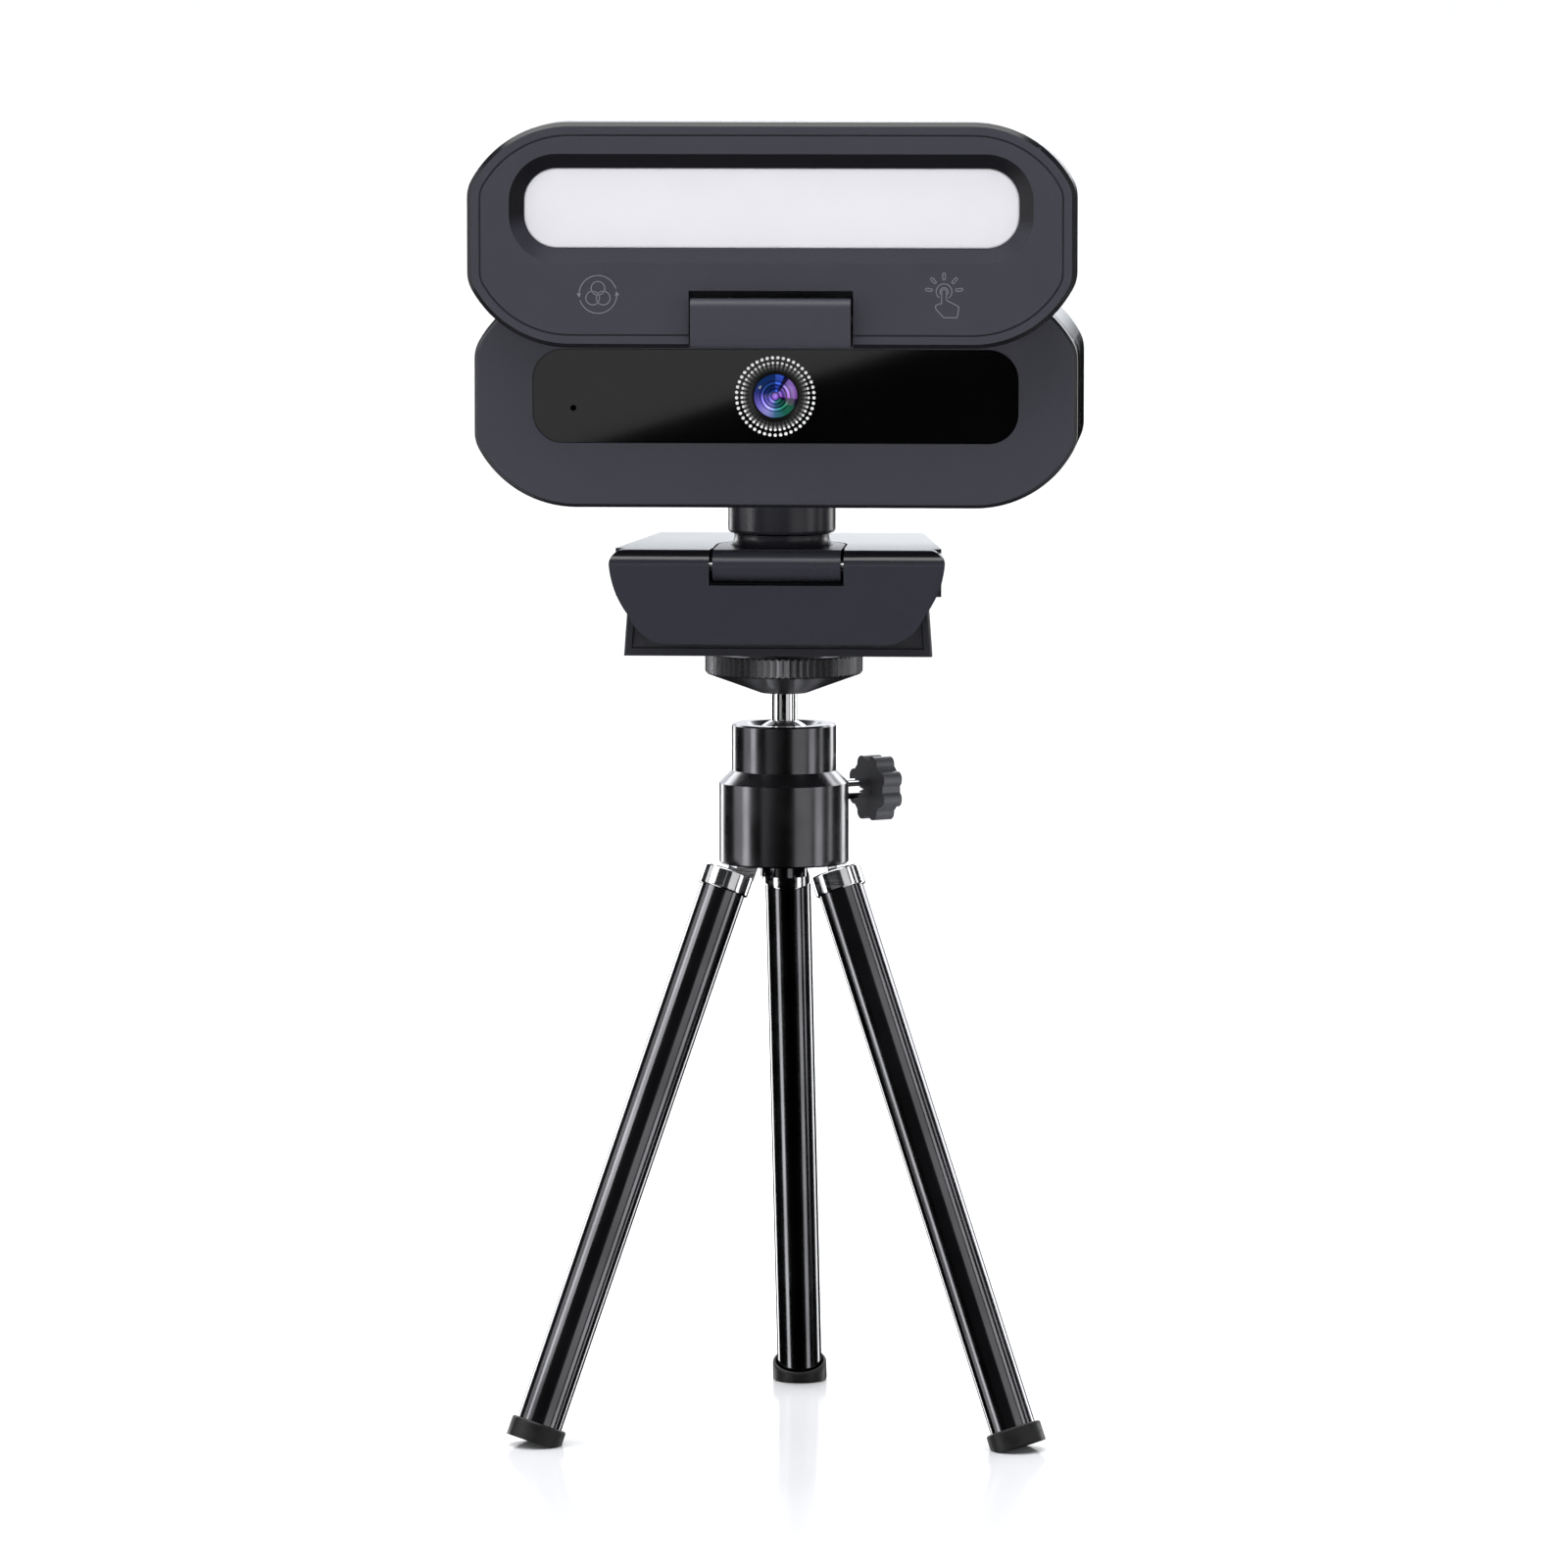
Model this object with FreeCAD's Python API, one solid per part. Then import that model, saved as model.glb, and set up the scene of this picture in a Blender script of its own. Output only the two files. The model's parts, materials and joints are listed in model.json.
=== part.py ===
import FreeCAD, Part
import math
import os
from FreeCAD import Vector

# Webcam with a fold-over light panel and a monitor clamp, standing on a mini tripod.
# Millimetres. +Z is up, the lens looks to -Y, +X is to the right of someone facing the lens.
# Everything is drawn about the tripod's upright axis. save() moves it by SHIFT_Y, so that the
# origin of the finished files is the middle of the whole object's footprint, on the ground.

X = Vector(1, 0, 0)
Y = Vector(0, 1, 0)
Z = Vector(0, 0, 1)
ORIGIN = Vector(0, 0, 0)
SHIFT_Y = -6.43

# --- tripod ---
SPLAY = 21.2                 # angle of a leg from upright
LEG_AZIMUTHS = {"back": 90, "left": 210, "right": 330}
PIVOT_R = 6.6                # hinge pins of the legs: distance from the tripod's axis
PIVOT_Z = 98.3
PIN_R = 0.8
LEG_OFFSET = 2.3             # tube axis outside the hinge pin
TONGUE_W = 3.8
TONGUE_T = 3.0
COLLAR_R = 4.3
COLLAR_TOP = 4.33            # distances along the leg, from the hinge pin
COLLAR_H = 3.5
TUBE_R = 3.85
TUBE_BORE = 3.25
FIT = 0.05                   # radial play of every running fit
FOOT_R = 4.7
FOOT_H = 3.4
FOOT_CUP_R = 4.2
FOOT_FLOOR = 1.4
FOOT_END_Z = 0.4             # height of the end face's centre, before the tread is cut flat
INNER_TUBE_L = 84.0
HEAD_R = 10.9
HEAD_BOTTOM = 96.0
NECK_R = 8.8
HEAD_TOP = 119.6
HUB_R = 9.9
HUB_TOP = 101.3
BALL_R = 6.0
BALL_Z = 114.5
SEAT_BORE = 6.35
CHAMBER_FLOOR = 104.6
KNOB_ANGLE = 36.0            # lock screw's direction, turned from +X towards the back
KNOB_Z = 107.7
KNOB_SCREW_R = 1.45
KNOB_IN = 16.7               # near face of the knob, from the tripod's axis
KNOB_T = 3.6
KNOB_R = 5.75
KNOB_LOBES = 8
SHAFT_R = 2.2
DISC_R = 13.3
DISC_BOTTOM = 124.8
DISC_RING_Z = 128.1
DISC_TOP = 131.5
KNURL_TEETH = 72
KNURL_DEPTH = 0.35
STUD_R = 3.175               # quarter-inch camera thread

# --- clamp ---
PLATE_FRONT = -22.0
PLATE_BACK = 23.0
PLATE_TOP = 150.2
PLATE_FRONT_W = 55.8
PLATE_BACK_W = 45.0
RAIL_BOTTOM = 142.2
SKIN = 2.0
RAIL_T = 1.6
JAW_BACK = -18.6
JAW_BOTTOM = 134.6
ARM_PIN_Y = 19.5
ARM_PIN_Z = 141.3
ARM_BARREL_R = 3.4
ARM_PIN_R = 1.2
KNUCKLE_IN = 17.1            # the platform's knuckles start here, the arm's ends 0.3 short
ARM_TOP = 146.4
ARM_STEP_TOP = 141.6
ARM_STEP_Y = -6.1
ARM_STEP_R = 4.5
ARM_SKIN = 1.0
FOOT_PLATE_FRONT = -17.9
FOOT_PLATE_BACK = -14.9
FOOT_PLATE_BOTTOM = 132.3
FOOT_PLATE_TOP = 144.8
BOSS_R = 6.5
INSERT_R = 4.6
INSERT_TOP = 139.9
TILT_Y = -19.2               # barrel of the tilting tongue
TILT_Z = 147.45
TILT_R = 2.6
TONGUE_HALF = 10.65
NOTCH_HALF = 11.2
TONGUE_BOTTOM = 148.0
NECK_Y = -6.0

# --- camera ---
CASE_W = 100.0
CASE_H = 37.0
CASE_ARC_X = 33.1            # centres of the end arcs
CASE_BLEND = 6.0
WALL = 2.0
CAM_Z = 176.0
CAM_FRONT = -24.5
BEZEL_BACK = -20.8
BAND_BACK = -9.0
CAM_BACK = 18.5
WINDOW_W = 80.5
WINDOW_H = 15.6
WINDOW_R = 5.0
LENS_RING_R = 5.25
BARREL_R = 4.7
GLASS_R = 3.65
BOARD_FRONT = -14.2
BOARD_BACK = -12.8
MIC_X = -33.5
MIC_Z = CAM_Z - 2.0
COLLAR_BOTTOM = 152.3
NECK_COLLAR_R = 9.0

# --- light ---
LIGHT_Z = 203.0
LIGHT_FRONT = -36.5
LIGHT_SEAM = -32.9
LIGHT_BACK = -26.5
HINGE_Y = -34.5
HINGE_Z = 188.7
HINGE_HALF = 4.0
HINGE_BLOCK_HALF = 13.15
HINGE_NOTCH_HALF = 13.5
HINGE_NOTCH_TOP = HINGE_Z + 5.25
LIGHT_PIN_R = 1.2
GLOW_Z = LIGHT_Z + 4.4
GLOW_W = 81.5
GLOW_H = 13.2
GLOW_R = 5.5
GLOW_FRONT = -35.0
BEVEL = 2.3
GROOVE_INSET = 2.0
GROOVE_W = 0.3
LED_COUNT = 14
TOUCH_X = 28.4
TOUCH_Z = LIGHT_Z - 9.7


def box(x0, x1, y0, y1, z0, z1):
    return Part.makeBox(x1 - x0, y1 - y0, z1 - z0, Vector(x0, y0, z0))


def x_rod(radius, x0, x1, y, z):
    return Part.makeCylinder(radius, x1 - x0, Vector(x0, y, z), X)


def y_rod(radius, x, y0, y1, z):
    return Part.makeCylinder(radius, y1 - y0, Vector(x, y0, z), Y)


def z_rod(radius, x, y, z0, z1):
    return Part.makeCylinder(radius, z1 - z0, Vector(x, y, z0), Z)


def prism(corners, direction):
    """Solid swept straight from a closed polygon."""
    return Part.Face(Part.makePolygon(corners + corners[:1])).extrude(direction)


def lathe(points, x=0.0, y=0.0):
    """Solid of revolution about the upright line through (x, y); points are (radius, z)."""
    corners = [Vector(x + r, y, z) for r, z in points]
    face = Part.Face(Part.makePolygon(corners + corners[:1]))
    return face.revolve(Vector(x, y, 0), Z, 360)


def lens_lathe(points):
    """Solid of revolution about the lens's axis; points are (radius, y)."""
    corners = [Vector(r, y, CAM_Z) for r, y in points]
    face = Part.Face(Part.makePolygon(corners + corners[:1]))
    return face.revolve(Vector(0, 0, CAM_Z), Y, 360)


def case_wire(inset, y, mid_z):
    """Outline of the camera and the light: flat top and bottom, arcs cut by an upright edge."""
    radius = CASE_H / 2 - inset
    blend = CASE_BLEND - inset
    half_w = CASE_W / 2 - inset
    blend_x = half_w - blend
    reach_x = blend_x - CASE_ARC_X
    blend_z = math.sqrt((radius - blend) ** 2 - reach_x ** 2)
    turn = math.atan2(blend_z, reach_x)
    arc_mid = (math.pi / 2 + turn) / 2

    def at(x, z):
        return Vector(x, y, mid_z + z)

    edges = []
    for side in (-1, 1):
        edges.append(Part.makeLine(at(-CASE_ARC_X, side * radius), at(CASE_ARC_X, side * radius)))
        edges.append(Part.makeLine(at(side * half_w, -blend_z), at(side * half_w, blend_z)))
        for up in (-1, 1):
            top = at(side * CASE_ARC_X, up * radius)
            on_arc = at(side * (CASE_ARC_X + radius * math.cos(arc_mid)), up * radius * math.sin(arc_mid))
            joint = at(side * (CASE_ARC_X + radius * math.cos(turn)), up * radius * math.sin(turn))
            on_blend = at(side * (blend_x + blend * math.cos(turn / 2)),
                          up * (blend_z + blend * math.sin(turn / 2)))
            edges.append(Part.Arc(top, on_arc, joint).toShape())
            edges.append(Part.Arc(joint, on_blend, at(side * half_w, up * blend_z)).toShape())
    return Part.Wire(Part.__sortEdges__(edges))


def case_slab(inset, y0, y1, mid_z):
    return Part.Face(case_wire(inset, y0, mid_z)).extrude(Vector(0, y1 - y0, 0))


def round_wire(width, height, radius, y, mid_z, mid_x=0.0):
    """Rectangle with rounded corners, standing across the Y axis."""
    half_w = width / 2
    half_h = height / 2
    diagonal = radius * math.sqrt(0.5)

    def at(x, z):
        return Vector(mid_x + x, y, mid_z + z)

    edges = []
    for side in (-1, 1):
        edges.append(Part.makeLine(at(radius - half_w, side * half_h), at(half_w - radius, side * half_h)))
        edges.append(Part.makeLine(at(side * half_w, radius - half_h), at(side * half_w, half_h - radius)))
        for up in (-1, 1):
            corner_x = half_w - radius
            corner_z = half_h - radius
            edges.append(Part.Arc(at(side * corner_x, up * half_h),
                                  at(side * (corner_x + diagonal), up * (corner_z + diagonal)),
                                  at(side * half_w, up * corner_z)).toShape())
    return Part.Wire(Part.__sortEdges__(edges))


def round_slab(width, height, radius, y0, y1, mid_z, mid_x=0.0):
    face = Part.Face(round_wire(width, height, radius, y0, mid_z, mid_x))
    return face.extrude(Vector(0, y1 - y0, 0))


def edges_at(shape, axis, value):
    """Edges that lie wholly in the plane axis = value."""
    found = []
    for edge in shape.Edges:
        bounds = edge.BoundBox
        low = getattr(bounds, axis + "Min")
        high = getattr(bounds, axis + "Max")
        if abs(low - value) < 0.01 and abs(high - value) < 0.01:
            found.append(edge)
    return found


def group(shapes):
    return Part.makeCompound(shapes)


def save(name, shape):
    moved = shape.copy()
    moved.translate(Vector(0, SHIFT_Y, 0))
    moved.exportStep("parts/" + name + ".step")


# ---------------------------------------------------------------- tripod legs

def stand_leg(shape, azimuth):
    """Take a leg piece, drawn hanging straight down from its hinge pin, to its place."""
    placed = shape.copy()
    placed.rotate(ORIGIN, Y, -SPLAY)
    placed.translate(Vector(PIVOT_R, 0, PIVOT_Z))
    placed.rotate(ORIGIN, Z, azimuth)
    return placed


def leg_length():
    """Distance along the leg from the hinge pin to the foot's end face."""
    lean = math.radians(SPLAY)
    return (PIVOT_Z + LEG_OFFSET * math.sin(lean) - FOOT_END_Z) / math.cos(lean)


def leg_collar():
    bottom = -COLLAR_TOP - COLLAR_H
    cap = -COLLAR_TOP - 0.8
    ring = z_rod(COLLAR_R, LEG_OFFSET, 0, bottom, -COLLAR_TOP)
    ring = ring.makeFillet(0.35, edges_at(ring, "Z", -COLLAR_TOP) + edges_at(ring, "Z", bottom))
    ring = ring.cut(z_rod(TUBE_R, LEG_OFFSET, 0, bottom, cap))
    tongue = box(-TONGUE_W / 2, TONGUE_W / 2, -TONGUE_T / 2, TONGUE_T / 2, -COLLAR_TOP - 0.4, 0)
    tip = y_rod(TONGUE_W / 2, 0, -TONGUE_T / 2, TONGUE_T / 2, 0)
    bore = y_rod(PIN_R + FIT, 0, -TONGUE_T, TONGUE_T, 0)
    return ring.fuse([tongue, tip]).cut(bore).removeSplitter()


def leg_tube():
    top = -COLLAR_TOP - 0.8
    bottom = FOOT_FLOOR + 0.3 - leg_length()
    outer = z_rod(TUBE_R, LEG_OFFSET, 0, bottom, top)
    return outer.cut(z_rod(TUBE_BORE, LEG_OFFSET, 0, bottom, top))


def inner_tube():
    bottom = FOOT_FLOOR - leg_length()
    outer = z_rod(TUBE_BORE - FIT, LEG_OFFSET, 0, bottom, bottom + INNER_TUBE_L)
    return outer.cut(z_rod(TUBE_BORE - FIT - 0.5, LEG_OFFSET, 0, bottom, bottom + INNER_TUBE_L))


def leg_foot(azimuth):
    end = -leg_length()
    cap = z_rod(FOOT_R, LEG_OFFSET, 0, end, end + FOOT_H)
    cap = cap.makeFillet(0.4, edges_at(cap, "Z", end + FOOT_H))
    cap = cap.cut(z_rod(FOOT_CUP_R, LEG_OFFSET, 0, end + FOOT_FLOOR, end + FOOT_H))
    placed = stand_leg(cap, azimuth)
    return placed.cut(box(-80, 80, -80, 80, -10, 0))


def make_legs():
    for name, azimuth in LEG_AZIMUTHS.items():
        save("leg_collar_" + name, stand_leg(leg_collar(), azimuth))
        save("leg_tube_" + name, stand_leg(leg_tube(), azimuth))
        save("inner_tube_" + name, stand_leg(inner_tube(), azimuth))
        save("foot_" + name, leg_foot(azimuth))


# ---------------------------------------------------------------- tripod head

def turned(shape, azimuth):
    placed = shape.copy()
    placed.rotate(ORIGIN, Z, azimuth)
    return placed


def knob_rod(radius, near, far):
    return turned(x_rod(radius, near, far, 0, KNOB_Z), KNOB_ANGLE)


def head_housing():
    web_bottom = HUB_TOP + 0.1
    lip_z = BALL_Z + 3.55
    outer = lathe([(0, HEAD_BOTTOM), (HEAD_R - 0.3, HEAD_BOTTOM), (HEAD_R, HEAD_BOTTOM + 0.3),
                   (HEAD_R, 109.6), (NECK_R, 111.7), (NECK_R, HEAD_TOP - 0.3),
                   (NECK_R - 0.3, HEAD_TOP), (0, HEAD_TOP)])
    leg_room = z_rod(HUB_R, 0, 0, HEAD_BOTTOM - 1, web_bottom)
    screw_hole = z_rod(1.4, 0, 0, HEAD_BOTTOM, CHAMBER_FLOOR)
    chamber = z_rod(SEAT_BORE, 0, 0, CHAMBER_FLOOR, BALL_Z)
    ball_room = Part.makeSphere(BALL_R + FIT, Vector(0, 0, BALL_Z))
    mouth = lathe([(0, lip_z), (4.9, lip_z), (6.5, HEAD_TOP), (6.5, HEAD_TOP + 1), (0, HEAD_TOP + 1)])
    lock_hole = knob_rod(KNOB_SCREW_R + FIT, 4.0, HEAD_R + 1)
    return outer.cut([leg_room, screw_hole, chamber, ball_room, mouth, lock_hole])


def leg_hub():
    """Round hub inside the head's skirt, slotted for the three leg tongues."""
    hub = z_rod(HUB_R, 0, 0, HEAD_BOTTOM + 0.6, HUB_TOP)
    hub = hub.fuse(z_rod(4.0, 0, 0, 93.7, HEAD_BOTTOM + 1))
    cuts = [z_rod(1.4, 0, 0, 93, HUB_TOP + 1), z_rod(2.6, 0, 0, 93, 95.2)]
    for azimuth in LEG_AZIMUTHS.values():
        slot = box(4.4, HUB_R + 1, -TONGUE_T / 2 - 0.15, TONGUE_T / 2 + 0.15, 93, HUB_TOP + 0.2)
        cuts.append(turned(slot, azimuth))
        cuts.append(turned(y_rod(PIN_R, PIVOT_R, -4.5, 4.5, PIVOT_Z), azimuth))
    return hub.cut(cuts)


def leg_pins():
    return group([turned(y_rod(PIN_R, PIVOT_R, -4.5, 4.5, PIVOT_Z), azimuth)
                  for azimuth in LEG_AZIMUTHS.values()])


def hub_screw():
    head = z_rod(2.6, 0, 0, 93.9, 95.2)
    cross = [box(-1.5, 1.5, -0.3, 0.3, 93, 94.6), box(-0.3, 0.3, -1.5, 1.5, 93, 94.6)]
    return head.fuse(z_rod(1.4, 0, 0, 95.2, 103.6)).cut(cross)


def ball_seat():
    cup = lathe([(0, 105.5), (3.5, 105.5), (SEAT_BORE - 0.08, 109.5), (SEAT_BORE - 0.08, 113.4), (0, 113.4)])
    return cup.cut(Part.makeSphere(BALL_R + FIT, Vector(0, 0, BALL_Z)))


def brake_pad():
    """Nylon pad that the lock screw drives against the cone under the ball's seat."""
    corners = [Vector(5.35, 0, KNOB_Z), Vector(5.35, 0, KNOB_Z + 0.3), Vector(7.0, 0, KNOB_Z + 1.42),
               Vector(7.6, 0, KNOB_Z + 1.42), Vector(7.6, 0, KNOB_Z)]
    face = Part.Face(Part.makePolygon(corners + corners[:1]))
    return turned(face.revolve(Vector(0, 0, KNOB_Z), X, 360), KNOB_ANGLE)


def knob_screw():
    return knob_rod(KNOB_SCREW_R, 7.65, 12.0).fuse(knob_rod(1.7, 11.6, KNOB_IN + 1.5)).removeSplitter()


def lock_knob():
    """Flower-shaped knob: a round core with a ring of lobes."""
    core = x_rod(KNOB_R - 0.9, KNOB_IN, KNOB_IN + KNOB_T, 0, KNOB_Z)
    lobe_ring = KNOB_R - 1.35
    lobes = []
    for step in range(KNOB_LOBES):
        turn = 2 * math.pi * (step + 0.5) / KNOB_LOBES
        lobe_y = lobe_ring * math.cos(turn)
        lobe_z = KNOB_Z + lobe_ring * math.sin(turn)
        lobes.append(x_rod(1.35, KNOB_IN, KNOB_IN + KNOB_T, lobe_y, lobe_z))
    knob = core.fuse(lobes).removeSplitter()
    dome = x_rod(3.2, KNOB_IN + KNOB_T, KNOB_IN + KNOB_T + 0.5, 0, KNOB_Z)
    knob = knob.fuse(dome).cut(x_rod(1.7, KNOB_IN - 1, KNOB_IN + 1.5, 0, KNOB_Z))
    return turned(knob, KNOB_ANGLE)


def ball_stud():
    ball = Part.makeSphere(BALL_R, Vector(0, 0, BALL_Z))
    shaft = z_rod(SHAFT_R, 0, 0, BALL_Z, DISC_BOTTOM + 1.8)
    return ball.fuse(shaft).removeSplitter()


def mount_disc():
    """Knurled disc below the camera thread, with a recess for its rubber pad."""
    cone = lathe([(0, DISC_BOTTOM), (4.0, DISC_BOTTOM), (DISC_R - 0.3, DISC_RING_Z), (0, DISC_RING_Z)])
    rim = []
    for tooth in range(2 * KNURL_TEETH):
        radius = DISC_R - KNURL_DEPTH * (tooth % 2)
        turn = math.pi * tooth / KNURL_TEETH
        rim.append(Vector(radius * math.cos(turn), radius * math.sin(turn), DISC_RING_Z))
    ring = prism(rim, Vector(0, 0, DISC_TOP - DISC_RING_Z))
    chamfer = lathe([(0, DISC_RING_Z), (DISC_R - 0.4, DISC_RING_Z), (DISC_R + 0.05, DISC_RING_Z + 0.45),
                     (DISC_R + 0.05, DISC_TOP - 0.45), (DISC_R - 0.4, DISC_TOP), (0, DISC_TOP)])
    ring = ring.common(chamfer)
    recess = z_rod(10.8, 0, 0, DISC_TOP - 0.8, DISC_TOP + 1)
    shaft_hole = z_rod(SHAFT_R, 0, 0, DISC_BOTTOM - 1, DISC_BOTTOM + 1.8)
    stud_hole = z_rod(STUD_R, 0, 0, DISC_RING_Z - 0.5, DISC_TOP)
    return cone.fuse(ring).removeSplitter().cut([recess, shaft_hole, stud_hole])


def camera_screw():
    return lathe([(0, DISC_RING_Z - 0.5), (STUD_R, DISC_RING_Z - 0.5), (STUD_R, 136.9),
                  (STUD_R - 0.6, 137.5), (0, 137.5)])


def disc_pad():
    return z_rod(10.8, 0, 0, DISC_TOP - 0.8, DISC_TOP).cut(z_rod(STUD_R + 0.6, 0, 0, 130, 132))


def make_head():
    save("head_housing", head_housing())
    save("leg_hub", leg_hub())
    save("leg_pins", leg_pins())
    save("hub_screw", hub_screw())
    save("ball_seat", ball_seat())
    save("brake_pad", brake_pad())
    save("knob_screw", knob_screw())
    save("lock_knob", lock_knob())
    save("ball_stud", ball_stud())
    save("mount_disc", mount_disc())
    save("camera_screw", camera_screw())
    save("disc_pad", disc_pad())


# ---------------------------------------------------------------- monitor clamp

def plan_prism(inset, y0, y1, z0, z1):
    """Upright block with the clamp's plan: narrower at the back."""
    def half(y):
        share = (y - PLATE_FRONT) / (PLATE_BACK - PLATE_FRONT)
        return (PLATE_FRONT_W + (PLATE_BACK_W - PLATE_FRONT_W) * share) / 2 - inset

    corners = [Vector(-half(y0), y0, z0), Vector(half(y0), y0, z0),
               Vector(half(y1), y1, z0), Vector(-half(y1), y1, z0)]
    return prism(corners, Vector(0, 0, z1 - z0))


def jaw_wire():
    def at(x, z):
        return Vector(x, PLATE_FRONT, z)

    half = PLATE_FRONT_W / 2
    edges = [Part.makeLine(at(-18.3, JAW_BOTTOM), at(18.3, JAW_BOTTOM)),
             Part.makeLine(at(2.4 - half, PLATE_TOP), at(half - 2.4, PLATE_TOP))]
    for side in (-1, 1):
        edges.append(Part.Arc(at(side * (half - 2.4), PLATE_TOP), at(side * (half - 0.7), 149.5),
                              at(side * half, 147.8)).toShape())
        edges.append(Part.Arc(at(side * half, 147.8), at(side * 26.9, 143.4),
                              at(side * 24.6, 139.3)).toShape())
        edges.append(Part.Arc(at(side * 24.6, 139.3), at(side * 22.2, 136.1),
                              at(side * 18.3, JAW_BOTTOM)).toShape())
    return Part.Wire(Part.__sortEdges__(edges))


def tongue_plan(grow, z0, z1):
    """Plan of the tilting tongue: straight sides, round end about the neck."""
    half = TONGUE_HALF + grow
    straight = box(-half, half, TILT_Y, NECK_Y, z0, z1)
    return straight.fuse(z_rod(half, 0, NECK_Y, z0, z1)).removeSplitter()


def clamp_platform():
    top = plan_prism(0, PLATE_FRONT, PLATE_BACK, RAIL_BOTTOM, PLATE_TOP)
    jaw = Part.Face(jaw_wire()).extrude(Vector(0, JAW_BACK - PLATE_FRONT, 0))
    front_corners = Part.Face(jaw_wire()).extrude(Vector(0, 6, 0))
    corner_block = box(-40, 40, PLATE_FRONT - 1, PLATE_FRONT + 6, RAIL_BOTTOM, PLATE_TOP)
    front = top.common(corner_block).common(front_corners)
    shell = top.cut(corner_block).fuse([front, jaw]).removeSplitter()
    round_front = box(-40, 40, PLATE_FRONT - 1, PLATE_FRONT + 2.5, PLATE_TOP - 2.5, PLATE_TOP + 1)
    round_front = round_front.cut(x_rod(2.5, -40, 40, PLATE_FRONT + 2.5, PLATE_TOP - 2.5))
    shell = shell.cut(round_front)
    hollow = plan_prism(RAIL_T, JAW_BACK, PLATE_BACK + 1, RAIL_BOTTOM - 10, PLATE_TOP - SKIN)
    shell = shell.cut(hollow)
    room = plan_prism(RAIL_T, JAW_BACK, PLATE_BACK - 0.5, RAIL_BOTTOM, PLATE_TOP - SKIN)
    floor = box(-13, 13, TILT_Y + TILT_R + 0.4, 6.5, TONGUE_BOTTOM - 1.25, PLATE_TOP - SKIN).common(room)
    knuckles = []
    for side in (-1, 1):
        near = min(side * KNUCKLE_IN, side * 21.9)
        far = max(side * KNUCKLE_IN, side * 21.9)
        knuckles.append(x_rod(ARM_BARREL_R, near, far, ARM_PIN_Y, ARM_PIN_Z))
        web = box(near, far, ARM_PIN_Y - ARM_BARREL_R, ARM_PIN_Y + ARM_BARREL_R, ARM_PIN_Z, PLATE_TOP - SKIN)
        knuckles.append(web)
    shell = shell.fuse([floor] + knuckles).removeSplitter()
    cuts = [box(-NOTCH_HALF, NOTCH_HALF, PLATE_FRONT - 1, TILT_Y + TILT_R + 0.4, 144.4, PLATE_TOP + 1),
            tongue_plan(0.35, TONGUE_BOTTOM - 0.35, PLATE_TOP + 1),
            x_rod(ARM_PIN_R + FIT, -20.6, 20.6, ARM_PIN_Y, ARM_PIN_Z),
            x_rod(1.0, -14.5, 14.5, TILT_Y, TILT_Z)]
    return shell.cut(cuts)


def jaw_pad():
    """Thin rubber strip on the inner face of the jaw."""
    return round_slab(34, 5.0, 1.5, JAW_BACK, JAW_BACK + 0.35, 138.6)


def tilt_tongue():
    """Tongue with its barrel in front and the flared foot of the neck on top."""
    plate = tongue_plan(0, TONGUE_BOTTOM, PLATE_TOP)
    barrel = x_rod(TILT_R, -TONGUE_HALF, TONGUE_HALF, TILT_Y, TILT_Z)
    start = Vector(8.7, NECK_Y, PLATE_TOP)
    end = Vector(8.0, NECK_Y, 152.1)
    edges = [Part.makeLine(Vector(0, NECK_Y, PLATE_TOP), start),
             Part.Arc(start, Vector(8.05, NECK_Y, 151.1), end).toShape(),
             Part.makeLine(end, Vector(0, NECK_Y, 152.1)),
             Part.makeLine(Vector(0, NECK_Y, 152.1), Vector(0, NECK_Y, PLATE_TOP))]
    flare = Part.Face(Part.Wire(edges)).revolve(Vector(0, NECK_Y, 0), Z, 360)
    tongue = plate.fuse([barrel, flare]).removeSplitter()
    cuts = [x_rod(1.0 + FIT, -TONGUE_HALF - 1, TONGUE_HALF + 1, TILT_Y, TILT_Z),
            z_rod(4.58, 0, NECK_Y, 150.6, 153), z_rod(1.55, 0, NECK_Y, 147, 151),
            z_rod(2.9, 0, NECK_Y, 147, 149.2)]
    return tongue.cut(cuts)


def arm_profile():
    """Side profile of the arm, swept across the clamp."""
    def at(y, z):
        return Vector(-30, y, z)

    bottom = ARM_PIN_Z - ARM_BARREL_R
    low_y = ARM_STEP_Y - ARM_STEP_R
    diagonal = ARM_STEP_R * math.sqrt(0.5)
    step_mid = at(low_y + diagonal, ARM_STEP_TOP + ARM_STEP_R - diagonal)
    edges = [Part.makeLine(at(FOOT_PLATE_BACK, bottom), at(ARM_PIN_Y, bottom)),
             Part.Arc(at(ARM_PIN_Y, bottom), at(ARM_PIN_Y + ARM_BARREL_R, ARM_PIN_Z),
                      at(ARM_PIN_Y, ARM_PIN_Z + ARM_BARREL_R)).toShape(),
             Part.makeLine(at(ARM_PIN_Y, ARM_PIN_Z + ARM_BARREL_R), at(13, ARM_TOP)),
             Part.makeLine(at(13, ARM_TOP), at(ARM_STEP_Y, ARM_TOP)),
             Part.makeLine(at(ARM_STEP_Y, ARM_TOP), at(ARM_STEP_Y, ARM_STEP_TOP + ARM_STEP_R)),
             Part.Arc(at(ARM_STEP_Y, ARM_STEP_TOP + ARM_STEP_R), step_mid, at(low_y, ARM_STEP_TOP)).toShape(),
             Part.makeLine(at(low_y, ARM_STEP_TOP), at(FOOT_PLATE_BACK, ARM_STEP_TOP)),
             Part.makeLine(at(FOOT_PLATE_BACK, ARM_STEP_TOP), at(FOOT_PLATE_BACK, bottom))]
    return Part.Face(Part.Wire(edges)).extrude(Vector(60, 0, 0))


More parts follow.
